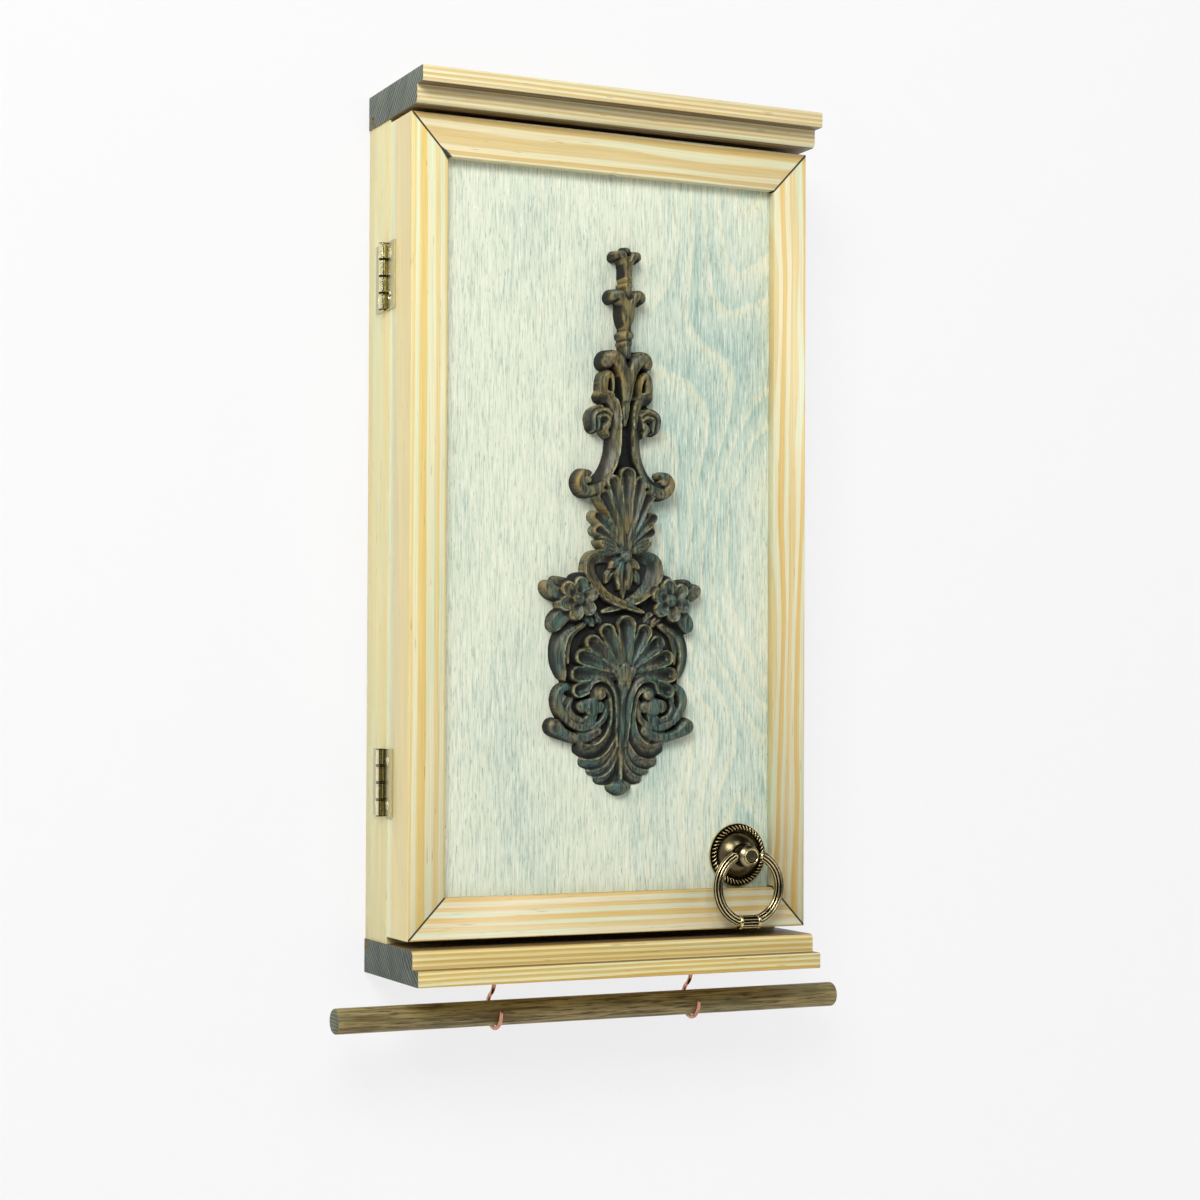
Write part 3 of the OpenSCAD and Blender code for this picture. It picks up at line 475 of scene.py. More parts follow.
def make_pines():
    """Each pine has the way of its grain and of its rings, ring pitch and shift, waviness, the
    share of its tint, and a pale and a gold tone."""
    pine("pine_stile_left", UP, (1, 0.16, 0), 5.6, 1.744, 0.2, 0.6, (250, 244, 206),
         (245, 212, 122), mitred=True, Tint=tone(226, 240, 208))
    pine("pine_stile_right", UP, (-1, 0.1, 0), 5.2, 3.3, 1.9, 0.7, (230, 224, 190),
         (226, 190, 110), mitred=True)
    pine("pine_rail_top", RIGHT, (0, 0.1, 1), 6.6, 5.55, 0.7, 0.4, (232, 222, 184),
         (214, 182, 108), mitred=True)
    pine("pine_rail_bottom", RIGHT, (0, 0.1, 1), 4.6, 8.4, 0.5, 0.6, (226, 216, 184),
         (220, 184, 104), mitred=True)
    pine("pine_side", UP, (0.2, 1, 0), 26.0, 1.35, 0.6, 0.5, (232, 222, 168), (230, 206, 134),
         Gold_Share=0.6)
    pine("pine_stile_edge", UP, (0, -1, 0), 45.0, 0.686, 0.25, 0.6, (230, 232, 196),
         (230, 202, 134), Crowding=0.15)
    for name, across, pitch, shift, wave, tint, pale, gold in (
            ("crown", (0, 0.75, 0.8), 1.9, 2.2, 0.25, 0.3, (232, 222, 180), (214, 176, 104)),
            ("base", (0, 0.6, 0.8), 2.1, 6.1, 0.3, 0.4, (232, 219, 158), (206, 168, 84)),
            ("inner", (0, 0.4, 1), 4.4, 4.1, 0.6, 0.2, (240, 236, 206), (235, 203, 118)),
            # Pine darkened as painted shade, for the crown's underside, the base's top and the
            # grooves.
            ("painted_shade", (0, 1, 0.2), 5.0, 7.7, 0.6, 0.1, (128, 104, 62), (98, 72, 36)),
            ("dowel", (0, 0.7, 0.7), 2.4, 9.2, 0.4, 0.1, (226, 205, 160), (205, 170, 112))):
        pine("pine_" + name, RIGHT, across, pitch, shift, wave, tint, pale, gold)


def make_end_grains():
    """The slate stain on the sawn ends of crown, base and rod."""
    for name, along, across, pitch, deep, light, relief in (
            ("end_crown", (0, 0.7, 0.3), (0, 0.707, 0.707), 2.2, (44, 52, 46),
             (154, 162, 146), 0.08),
            ("end_base", (0, 0.7, 0.3), (0, 0.707, -0.707), 2.2, (34, 42, 37),
             (132, 142, 128), 0.08),
            ("rod_end", (0, 1, 0), UP, 1.6, (66, 74, 62), (140, 140, 108), 0.1)):
        g, spot = material(name)
        stained_surface(g, "end_grain", {
            "Grain": g.measured(spot, along, across, RIGHT), "Ring Pitch": pitch,
            "Deep": tone(*deep), "Light": tone(*light)}, relief)


def make_plies():
    """The washed faces of door panel and back panel, and the back panel's edge, dark with its ply
    layers and darker still as painted shade of the slot it sits in.
    """
    g, spot = material("ply_edge_painted_shade")
    layer = g.noise(spot, (0.3, 1.4, 0.2), 2)
    # Near-black edge: ply layers, darkened further as painted shade of its slot.
    surface(g, g.mix(layer, tone(26, 28, 22), tone(62, 62, 48)), 0.85, layer, 0.1)
    for name, blue in (("ply_door", 1.0), ("ply_back", 0.4)):
        g, spot = material(name)
        grain = g.vector("ADD", g.measured(spot, UP, RIGHT, (0, 1, 0)), (200, 0, 0))
        stained_surface(g, "washed_ply", {"Grain": grain, "Blue Share": blue}, 0.08)


def make_rod_stain():
    """The rod's stained, fibrous side."""
    g, spot = material("rod_stain")
    fibre = g.noise(spot, (0.03, 0.75, 0.75), 4, 0.62)
    thin = g.noise(spot, (0.08, 1.25, 1.25), 2, 0.6)
    patch = g.noise(spot, (0.02, 0.12, 0.12), 3, 0.55)
    color = g.mix(g.ease(fibre, 0.38, 0.6), tone(100, 82, 44), tone(164, 146, 96))
    color = g.mix(g.math("MULTIPLY", g.ease(patch, 0.42, 0.66), 0.4), color, tone(112, 110, 72))
    color = g.mix(g.math("MULTIPLY", g.ease(thin, 0.54, 0.66), 0.75), color, tone(54, 38, 16))
    surface(g, color, g.math("MULTIPLY_ADD", thin, 0.3, 0.42),
            g.math("MULTIPLY_ADD", fibre, 0.8, thin), 0.14, Specular_IOR_Level=0.35)


def make_woods():
    pine_rings_effect()
    end_grain_effect()
    washed_ply_effect()
    mitre_stain_effect()
    make_pines()
    make_end_grains()
    make_plies()
    make_rod_stain()


def make_patina_and_painted_light():
    """The stained carving: olive and slate wood; its crests lightened by wear and a painted
    highlight, gold painted light on its left-facing slopes, and near black in its hollows and
    creases with dark patina and painted shade.
    """
    g, spot = material("carved_patina_and_painted_light")
    _, _, z = g.split(spot)
    hollow_patina_and_shade, crease_patina_and_shade, rubbed_and_highlight, left = (
        g.mark(name) for name in ("hollow_patina_and_shade", "crease_patina_and_shade", "rubbed_and_highlight", "painted_left_light"))
    streak = g.noise(spot, (0.9, 0.9, 0.08), 4, 0.6)
    cloud = g.noise(spot, (0.07, 0.07, 0.05), 3, 0.55)
    warm = g.noise(g.vector("ADD", spot, (70, 0, 0)), (0.1, 0.1, 0.06), 2)
    fine = g.noise(spot, (2.2, 2.2, 0.5), 3, 0.65)
    cool = g.math("ADD", g.math("MULTIPLY_ADD", z, -0.0014, -0.27), cloud)
    color = g.mix(g.ease(cool, 0.36, 0.62), tone(116, 110, 70), tone(70, 98, 88))
    color = g.mix(g.math("MULTIPLY", g.ease(streak, 0.6, 0.4), 0.86), color, tone(20, 24, 16))
    warm = g.math("MULTIPLY", g.ease(warm, 0.46, 0.62), g.ease(streak, 0.38, 0.6))
    color = g.mix(g.math("MULTIPLY", warm, 0.45), color, tone(142, 112, 62))
    # Crests lightened: partly wear, partly a painted highlight on the edges.
    worn = g.ease(g.noise(spot, (0.3, 0.3, 0.22), 4, 0.65), 0.4, 0.64, 0.05, 1.0)
    rub_and_highlight = g.math("MULTIPLY", g.ease(rubbed_and_highlight, 0.3, 0.9), worn)
    color = g.mix(g.math("MULTIPLY", rub_and_highlight, 0.72), color, tone(186, 182, 136))
    # Gold on left-facing slopes: painted light from the left.
    gold = g.math("MULTIPLY", g.ease(left, 0.3, 1.0), g.ease(g.noise(
        spot, (0.13, 0.13, 0.13), 2), 0.42, 0.66))
    color = g.mix(g.math("MULTIPLY", gold, 0.55), color, tone(176, 146, 84))
    # Near black in the hollows: dark patina and painted shade.
    color = g.mix(g.ease(hollow_patina_and_shade, 0.03, 0.42, 0.0, 0.93), color, tone(12, 15, 12))
    # Near black in the creases: dark patina and painted shade.
    color = g.mix(g.ease(crease_patina_and_shade, 0.06, 0.55, 0.0, 0.96), color, tone(8, 9, 8))
    rough = g.math("MULTIPLY_ADD", fine, 0.3, g.ease(hollow_patina_and_shade, 0.05, 0.5, 0.24, 0.6))
    height = g.math("MULTIPLY_ADD", streak, 0.7, fine)
    surface(g, color, rough, height, 0.14, Specular_IOR_Level=0.5)


# Metal and felt

def metal_stain_and_shade_effect():
    """Metal darkened where it is stained and where it lies deep: patina in its recesses, and
    painted shade in gaps, grooves and slots.
    """
    g, at, close = effect("metal_stain_and_shade", [
        ("Spot", "Vector", None), ("Sunk", "Float", 0.0), ("Bright", "Color", None),
        ("Dark", "Color", None), ("Shine", "Float", 0.3), ("Mottle", "Float", 0.5)])
    cloud = g.noise(at["Spot"], (0.35, 0.35, 0.35), 4, 0.6)
    fine = g.noise(at["Spot"], (2.4, 2.4, 2.4), 3, 0.6)
    stain = g.math("MULTIPLY", g.ease(cloud, 0.42, 0.7), g.math("MULTIPLY", at["Mottle"], 0.6))
    deep = g.math("MAXIMUM", g.ease(at["Sunk"], 0.1, 0.8), stain)
    color = g.mix(deep, at["Bright"], at["Dark"])
    rough = g.math("ADD", g.math("MULTIPLY_ADD", deep, 0.1, at["Shine"]),
                   g.math("MULTIPLY_ADD", fine, 0.16, -0.08))
    close({"Color": color, "Roughness": rough, "Height": fine})


def make_metals():
    """Metals, darkened where a piece's "sunk" mark says that its surface lies deep: dark patina
    there, and painted shade in the gaps, grooves and slots.
    """
    metal_stain_and_shade_effect()
    for name, bright, dark, shine, mottle in (
            ("bronze", tone(222, 206, 158), tone(20, 14, 4), 0.15, 0.6),
            ("hinge_metal", tone(236, 227, 178), tone(34, 28, 16), 0.14, 0.3),
            ("copper", tone(204, 148, 120), tone(40, 20, 12), 0.16, 1.0),
            ("zinc", tone(196, 198, 196), tone(70, 72, 72), 0.34, 0.4)):
        g, spot = material(name)
        stained_surface(g, "metal_stain_and_shade", {
            "Spot": spot, "Sunk": g.mark("sunk"), "Bright": bright, "Dark": dark,
            "Shine": shine, "Mottle": mottle}, 0.03, Metallic=1.0)
    g, spot = material("magnet_face")
    fine = g.noise(spot, (0.3, 0.3, 5), 3, 0.7)
    surface(g, g.mix(fine, tone(150, 152, 152), tone(190, 192, 192)),
            g.math("MULTIPLY_ADD", fine, 0.25, 0.2), fine, 0.02, Metallic=1.0)


def make_felt():
    g, spot = material("felt_dot")
    fuzz = g.noise(spot, (5, 5, 5), 4, 0.8)
    color = g.mix(fuzz, tone(58, 62, 58), tone(96, 100, 92))
    surface(g, color, 0.95, fuzz, 0.25, Sheen_Weight=0.4)


# Meshes

SAME_SPOT = 0.002 * MM


def settle(piece, body, stands_for, finishes, pick=None, round_to=35):
    """Merges doubles, turns the faces outwards, gives the materials and hands the piece over."""
    data = piece.data
    work = bmesh.new()
    work.from_mesh(data)
    bmesh.ops.remove_doubles(work, verts=work.verts, dist=SAME_SPOT)
    bmesh.ops.recalc_face_normals(work, faces=work.faces)
    work.to_mesh(data)
    work.free()
    data.materials.clear()
    for finish in finishes:
        data.materials.append(bpy.data.materials[finish])
    data.polygons.foreach_set("use_smooth", [True] * len(data.polygons))
    data.set_sharp_from_angle(angle=math.radians(round_to))
    for face in data.polygons:
        face.material_index = pick(face) if pick else 0
    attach(piece, body)
    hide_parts(*stands_for)


def plain_mesh(piece):
    """Turns a piece's modifiers into its plain mesh."""
    bpy.context.view_layer.update()
    graph = bpy.context.evaluated_depsgraph_get()
    made = bpy.data.meshes.new_from_object(piece.evaluated_get(graph), depsgraph=graph)
    piece.modifiers.clear()
    piece.data = made
    return piece


def eased(node, finishes, ease, pick=None):
    """A copy of a node with its sharp edges rounded over by ease millimetres."""
    work = bmesh.new()
    work.from_mesh(CAD[node].data)
    bmesh.ops.remove_doubles(work, verts=work.verts, dist=SAME_SPOT)
    bmesh.ops.dissolve_limit(work, angle_limit=math.radians(0.5), verts=work.verts,
                             edges=work.edges)
    data = bpy.data.meshes.new(node + "_eased")
    work.to_mesh(data)
    work.free()
    piece = placed(node + "_eased", data)
    bevel = piece.modifiers.new("ease", "BEVEL")
    bevel.width, bevel.segments, bevel.limit_method = ease * MM, 2, "ANGLE"
    bevel.angle_limit, bevel.harden_normals = math.radians(28), False
    weigh = piece.modifiers.new("weigh", "WEIGHTED_NORMAL")
    weigh.keep_sharp = True
    plain_mesh(piece)
    settle(piece, BODY_OF[node], [node], finishes, pick, 50)


def dress(node, finish):
    """Gives a node that keeps its own shape its material."""
    CAD[node].data.materials.clear()
    CAD[node].data.materials.append(bpy.data.materials[finish])


def make_boards():
    """The boards, laths and panels, with eased edges and a grain for each."""
    clear = 1
    groove_front = low_corner("back_panel")[1] - clear
    groove_back = high_corner("back_panel")[1] + clear

    def moulded(inner_way):
        """Picks side grain, end grain, or pine darkened as painted shade for the inner face and
        the groove.
        """
        def pick(face):
            in_groove = (abs(face.normal.y) > 0.9
                         and groove_front * MM < face.center.y < groove_back * MM)
            if abs(face.normal.x) > 0.8:
                return 1
            return 2 if in_groove or face.normal.z * inner_way > 0.9 else 0
        return pick

    def outer_edge(face):
        return int(abs(face.center.x) > (DOOR_HALF_WIDTH - 0.2) * MM)

    def ply_end(face):
        return int(abs(face.normal.x) > 0.8)

    # The third finish of crown and base, on their inner faces and groove faces, is pine darkened
    # as painted shade.
    for node, finishes, ease, pick in (
            ("crown_board", ["pine_crown", "end_crown", "pine_painted_shade"], 0.5, moulded(-1)),
            ("base_board", ["pine_base", "end_base", "pine_painted_shade"], 0.5, moulded(1)),
            ("side_board_left", ["pine_side"], 0.5, None),
            ("side_board_right", ["pine_side"], 0.5, None),
            ("door_stile_left", ["pine_stile_left", "pine_stile_edge"], 0.35, outer_edge),
            ("door_stile_right", ["pine_stile_right", "pine_stile_edge"], 0.35, outer_edge),
            ("door_rail_top", ["pine_rail_top"], 0.35, None),
            ("door_rail_bottom", ["pine_rail_bottom"], 0.35, None),
            ("peg_rail", ["pine_inner"], 0.6, None),
            ("tray_lip", ["pine_inner"], 0.5, None)):
        eased(node, finishes, ease, pick)
    eased("back_panel", ["ply_back", "ply_edge_painted_shade"], 0.15, ply_end)
    dress("door_panel", "ply_door")


# The carved ornament, in millimetres round its own middle: x to the right, y up, and height
# off the panel. A mark of a stroke is (x, y, half width, crest).

CARVING_X, CARVING_Z = 4.8, -194.25
CARVING_LEAN, CARVING_STRETCH = 0.006, 1.0075
CARVING_HALF_WIDTH, CARVING_HALF_HEIGHT = 46, 137
FINE_STEP = 0.2
SKIRT_HEIGHT = 0.35


def along_marks(marks, step=0.35):
    """Spots on a smooth curve through the marks of a stroke."""
    marks = np.array(marks, float)
    ends = np.vstack([2 * marks[0] - marks[1], marks, 2 * marks[-1] - marks[-2]])
    spots = []
    for before, start, stop, after in zip(ends, ends[1:], ends[2:], ends[3:]):
        count = max(2, int(np.hypot(*(stop - start)[:2]) / step))
        t = np.linspace(0, 1, count, endpoint=False)[:, None]
        spots.append(start + t * (stop - before) / 2
                     + t ** 2 * (before - 2.5 * start + 2 * stop - 0.5 * after)
                     + t ** 3 * (1.5 * (start - stop) + (after - before) / 2))
    spots = np.vstack(spots + [marks[-1:]])
    spots[:, 2] = np.maximum(spots[:, 2], 0.3)
    return spots


def rounded(off):
    return 1 - np.sqrt(np.maximum(0, 1 - off ** 2))


def round_top(off, side, along):
    return 0.85 * rounded(off)


def flat_top(off, side, along):
    return 0.7 * rounded(off ** 2.2)


def ball_top(off, side, along):
    return rounded(off)


def scooped_top(off, side, along):
    """A lobe with a raised rim and a dish that deepens towards its tip."""
    dish = np.maximum(0, 1 - (off / 0.84) ** 2) ** 0.7
    rim = rounded(np.maximum(0, (off - 0.84) / 0.16))
    return np.where(off < 0.84, (0.25 + 0.75 * along) * dish, 0.7 * rim)


def leaf_top(off, side, along):
    """A blade that falls to its edges, with a sunk vein between two soft ridges."""
    vein = np.exp(-(side / 0.14) ** 2)
    ridges = np.exp(-((off - 0.3) / 0.12) ** 2)
    return 0.75 * off ** 2 + 0.3 * vein - 0.12 * ridges


def coved_top(off, side, along):
    """A band with a raised line on its inner edge, hollowed and falling to the outer one."""
    fall = 1.5 * (1 - ((1 - side) / 2) ** 2.0) - 0.1
    return fall + 0.5 * rounded(np.clip((off - 0.75) / 0.25, 0, 1))


def coved_left(off, side, along):
    return coved_top(off, -side, along)


def reeded_top(off, side, along):
    return 0.7 * rounded(off) + 0.2 * (1 + np.cos(3 * math.pi * side))


def petal_top(off, side, along):
    return 0.6 * rounded(off) + 0.25 * np.exp(-(off / 0.45) ** 2)


def bowl_top(off, side, along):
    """A petal hollowed to a bowl, with a thin rim."""
    bowl = 0.5 * np.maximum(0, 1 - (off / 0.86) ** 2) ** 0.8
    return np.where(off < 0.86, bowl, 0.9 * rounded((off - 0.86) / 0.14))


def level_top(off, side, along):
    return 0 * off


class Carving:
    """A grid of heights that strokes are laid on, each over the ones before it."""

    def __init__(self):
        self.x, self.y = (np.arange(-half, half + FINE_STEP / 2, FINE_STEP)
                          for half in (CARVING_HALF_WIDTH, CARVING_HALF_HEIGHT))
        self.level = np.zeros((len(self.y), len(self.x)))

    def stroke(self, top, *marks, mirrored=True, melt=False):
        """Lays one form; melt lets it flow into what lies there already."""
        spots = along_marks(marks)
        low = (spots[:, :2] - spots[:, 2:3]).min(0)
        high = (spots[:, :2] + spots[:, 2:3]).max(0)
        left, right = np.searchsorted(self.x, (low[0], high[0]))
        foot, head = np.searchsorted(self.y, (low[1], high[1]))
        gx, gy = np.meshgrid(self.x[left:right], self.y[foot:head])
        away = np.hypot(gx[..., None] - spots[:, 0], gy[..., None] - spots[:, 1]) / spots[:, 2]
        near = away.argmin(-1)
        off = np.minimum(away.min(-1), 1)
        run = np.gradient(spots[:, :2], axis=0)
        run /= np.hypot(run[:, 0], run[:, 1])[:, None] + 1e-9
        side = run[near, 0] * (gy - spots[near, 1]) - run[near, 1] * (gx - spots[near, 0])
        side = np.clip(side / spots[near, 2], -1, 1)
        drop = top(off, side, near / (len(spots) - 1)) * spots[near, 2]
        rise = np.maximum(spots[near, 3] - drop, 0.5)
        part = off < 1
        spans = {1: slice(left, right)}
        if mirrored:
            spans[-1] = slice(len(self.x) - right, len(self.x) - left)
        for way, span in spans.items():
            ground = self.level[foot:head, span]
            cells, form = part[:, ::way], rise[:, ::way]
            if melt:
                form = np.logaddexp(2 * form, 2 * ground) / 2
            ground[cells] = form[cells]

    def middle(self, top, *marks, melt=False):
        self.stroke(top, *marks, mirrored=False, melt=melt)

    def ball(self, x, y, size, crest, mirrored=True):
        self.stroke(ball_top, (x, y, size, crest), (x + 0.01, y, size, crest),
                    mirrored=mirrored)


def carve_shade_floor(c):
    """A low floor laid in the openings between the forms, which the painted hollow shade turns
    near black, standing in for the shadow there.
    """
    for marks in (((0, 18, 7, 2.5), (0, -12, 11, 2.5)), ((0, -12, 9, 2), (0, -40, 12, 1.5)),
                  ((-12, -26, 6, 1.5), (12, -26, 6, 1.5)), ((-20, -41, 5, 2), (20, -41, 5, 2)),
                  ((0, -58, 17, 3), (0, -84, 23, 3)), ((-20, -92, 9, 2), (20, -92, 9, 2)),
                  ((0, -100, 12, 2.5), (0, -122, 6, 2.5)), ((0, 66, 5, 2.5), (0, 34, 5, 2)),
                  ((0, 34, 5, 1.5), (0, 22, 8.5, 1.5))):
        c.middle(level_top, *marks)
    c.stroke(level_top, (18, -48, 6, 1.5), (26, -58, 6, 1.5), (27, -70, 6, 1.5),
             (25, -80, 5, 1.5))


def carve_fronds(c):
    """The low leaves of the tail and the small ones between them."""
    c.middle(ball_top, (-3.6, -127.4, 3, 4.6), (0, -128.2, 3.8, 5.4), (3.6, -127.4, 3, 4.6))
    c.stroke(round_top, (9, -103.5, 2, 4), (14, -106.3, 2.2, 4.2), (18, -107.4, 1.8, 4))
    c.stroke(round_top, (14, -109.4, 2, 4), (19, -107.9, 2, 4), (22.4, -108.6, 1.5, 3.6))
    c.stroke(coved_top, (10.2, -123.6, 2.8, 5), (6.6, -123, 3.3, 5.6), (3.4, -118.6, 2.8, 6),
             (1.9, -110, 1.7, 6.4), (1.2, -101, 1, 6.6))
    c.stroke(coved_top, (14.4, -119.8, 2.4, 5), (10.4, -119.4, 3, 5.6), (6, -115.8, 2.7, 6.2),
             (3.2, -109, 1.8, 6.6), (2.2, -100, 1.1, 6.8))
    c.stroke(coved_top, (18.2, -115.6, 2.8, 5.2), (14.4, -116, 3.4, 5.8),
             (9.2, -114.2, 3.2, 6.4), (5.2, -108.6, 2.3, 6.8), (3.2, -100, 1.4, 7))


def carve_curls(c):
    """The side curls with their thin inner curl, and the knobs below them."""
    c.stroke(round_top, (25.4, -82.6, 1.8, 4.4), (28.8, -80.4, 2.3, 4.8), (32.2, -82.4, 2.7, 5),
             (33.3, -87, 2.9, 5.2), (31.2, -92.6, 2.9, 5.4), (26.2, -97.2, 2.8, 5.6),
             (20, -99.6, 2.4, 5.4), (12.5, -99.4, 2, 5.4))
    c.stroke(round_top, (26.2, -86, 1.3, 4.6), (27.7, -89.8, 1.7, 5), (25.7, -94, 1.8, 5.2),
             (21.5, -96, 1.7, 5.2))
    c.stroke(ball_top, (35.2, -99, 4.3, 7.2), (33.6, -100.2, 3.9, 7), (29.6, -102.6, 2.9, 6.2),
             (24, -104.2, 2.7, 5.8), (18, -103.8, 2.7, 5.8), (12.5, -101.3, 2.5, 5.8))
    c.stroke(round_top, (8.4, -87, 1.4, 5.8), (8.8, -93.5, 1.7, 6), (12.4, -97.8, 1.7, 6),
             (17.5, -99.2, 1.5, 5.6))


def carve_side_arcs(c):
    """The slim arcs beside the fan, and the wide hollowed ones round them."""
    c.stroke(round_top, (20, -51, 1.3, 4.8), (26, -55.5, 1.6, 4.8), (28.4, -62, 1.5, 4.8),
             (28.2, -69, 1, 4.4))
    c.stroke(coved_top, (23, -49.4, 2.6, 6.2), (30.4, -54.6, 3.3, 6.8), (33.2, -61, 3.5, 7),
             (33.2, -68, 3.3, 6.8), (31.6, -73.6, 2.5, 6.2), (29.6, -77.4, 0.6, 5.4))


def carve_flowers(c):
    """The two flowers, their leaves, and the scroll that crosses between them."""
    c.stroke(leaf_top, (24.5, -34, 3.6, 6.5), (24.6, -30.6, 3.6, 6.4), (22.2, -27.6, 1.6, 5.8))
    c.stroke(petal_top, (27, -37.5, 3.2, 7.2), (35, -35.4, 4.6, 7.6), (38.6, -33.9, 3.8, 7.2),
             (40.2, -32.8, 2, 6.4))
    c.stroke(petal_top, (30.5, -31.5, 3, 6.8), (34.6, -30.6, 2.6, 6.4))
    c.stroke(petal_top, (27.5, -44, 3.4, 7), (33, -47.8, 4.3, 7), (35, -50.6, 3.8, 6.6),
             (35.6, -52.2, 2.4, 6))
    c.stroke(leaf_top, (20, -45, 3, 6), (14.6, -47.4, 3.2, 6), (11, -50.6, 0.8, 5.6))
    c.stroke(leaf_top, (19, -47, 3, 5.6), (17, -49, 2.6, 5.6), (15.4, -51.4, 0.8, 5))
    for way, sink in ((1, 0.8), (-1, 0)):
        c.middle(coved_top if way < 0 else coved_left, *[
            (way * x, y, half, crest - sink) for x, y, half, crest in (
                (5, -20, 2.6, 7.2), (11, -18.6, 3.2, 8), (16, -20, 3.8, 8.4),
                (17.4, -24.8, 4, 8.6), (15.4, -30, 3.8, 8.6), (11.6, -34.8, 3.2, 8.8),
                (7, -38.2, 2.7, 9), (1, -40.8, 2.3, 9), (-5, -42.8, 1.8, 8.4),
                (-10.5, -44.6, 1.0, 7.4))])
    flower_x, flower_y, petals, root, tip = 24.5, -38.8, 6, 3.4, 6.9
    for number in range(petals):
        turn = math.radians(100 + 360 / petals * number)
        x, y = math.cos(turn), math.sin(turn)
        c.stroke(bowl_top, (flower_x + root * x, flower_y + root * y, 2.6, 8.2),
                 (flower_x + tip * x, flower_y + tip * y, 3.8, 9.4))
    c.ball(flower_x, flower_y, 3.1, 10.4)


def carve_palmette(c):
    """The upper shell of lobes, with small leaves and a bead below it."""
    c.stroke(leaf_top, (3, -16, 1.6, 8.4), (8, -14, 2.8, 8.8), (12, -12.4, 2.3, 8.6),
             (14.6, -11.4, 0.5, 8))
    c.stroke(scooped_top, (2, -12, 1.4, 8.6), (7.4, -8.4, 2, 8.8))
    for x, y, half, crest in ((14.2, -6.3, 2.6, 9), (14.7, 0.4, 3, 9.6), (12, 9.9, 3.4, 10.2),
                              (7.2, 16.6, 3.6, 10.8)):
        c.stroke(scooped_top, (0.14 * x, 0.1 * y - 12.6, 1.2, crest - 1),
                 (0.6 * x, 0.6 * y - 5.6, 0.75 * half, crest - 0.2), (x, y, half, crest))
    c.middle(scooped_top, (0, -12, 1.6, 10), (0, 5, 2.8, 10.7), (0, 20, 4.3, 11))
    c.stroke(leaf_top, (3, -22, 2.4, 5), (7, -27, 2.8, 5), (9, -31, 0.6, 4.6))
    c.stroke(leaf_top, (1.5, -19.5, 1.6, 7.6), (5, -21.6, 2.4, 7.6), (8, -23.8, 0.5, 7))
    c.middle(leaf_top, (0, -22, 2.6, 6), (0, -32, 2.4, 6), (0, -38.4, 0.5, 5.5))
    c.stroke(leaf_top, (1.2, -20, 1.6, 7.8), (2.6, -27, 2.3, 7.8), (2.7, -34, 0.5, 6.8))
    c.stroke(leaf_top, (0.6, -17, 1.5, 9.4), (2.2, -9, 2.2, 9.8), (3.2, -2, 0.5, 9.6))
    c.ball(0, -18.1, 3.1, 10.4, mirrored=False)


def carve_fan(c):
    """The lower shell of lobes, on its long rib."""
    for x, y, half, crest in ((23.4, -82, 3.7, 8.8), (24.1, -74.3, 4, 9.2),
                              (21.8, -66.3, 4.1, 9.8), (16.8, -59.6, 4.1, 10.2),
                              (9.7, -54.3, 4.2, 10.6)):
        c.stroke(scooped_top, (0.2 * x, 0.2 * y - 59.2, 1.6, crest - 1.6),
                 (0.6 * x, 0.6 * y - 29.6, 0.75 * half, crest - 0.4), (x, y, half, crest))
    c.middle(scooped_top, (0, -73, 2.4, 9.4), (0, -62, 3.8, 10.6), (0, -51.2, 5.1, 11))
    c.middle(flat_top, (0, -74, 4.8, 9.6), (0, -80, 3.2, 8.8), (0, -89, 1.4, 7.2),
             (0, -124, 0.9, 5))
    c.stroke(round_top, (2, -76, 2, 9.4), (4, -72.4, 2.3, 9.8))
    c.middle(round_top, (0, -76, 2, 9.8), (0, -70.8, 2.6, 10.2))


def carve_croziers(c):
    """The bunches of soft petals, and the reeded arms that curl over them from the stem."""
    c.stroke(flat_top, (15, -93, 2.4, 6), (17, -96, 3.4, 6.2))
    c.stroke(round_top, (18, -88, 2.6, 6.8), (20.6, -89.4, 3.5, 7))
    c.stroke(round_top, (14, -88, 2.6, 6.8), (12.2, -89.6, 3.4, 7))
    c.stroke(flat_top, (15.8, -87, 2.6, 7.2), (16.2, -91, 3.5, 7.6))
    c.stroke(coved_top, (21.4, -109.4, 2.8, 5.2), (17.4, -110.8, 3.4, 5.8),
             (12, -109.8, 3.5, 6.4), (7.6, -105.4, 3, 7), (5.2, -99, 2.4, 7.4),
             (4.6, -92, 2.2, 7.8), (5.6, -84.8, 2.4, 8.4), (9, -80.6, 2.4, 9),
             (13, -80, 2.2, 9), (15.8, -81.8, 1.8, 8.4), (16.4, -84.6, 1.4, 7.6))
    c.stroke(coved_top, (2, -108, 0.9, 6.4), (2.5, -100, 1.3, 7.2), (2.7, -91, 1.6, 8.2),
             (3.9, -83, 1.9, 9), (7.4, -77.8, 1.9, 9.6), (12.4, -76.2, 1.7, 9.6),
             (16.6, -78, 1.3, 9), (18.4, -81.6, 0.9, 8))
    c.ball(12.6, -83.6, 2.9, 10)


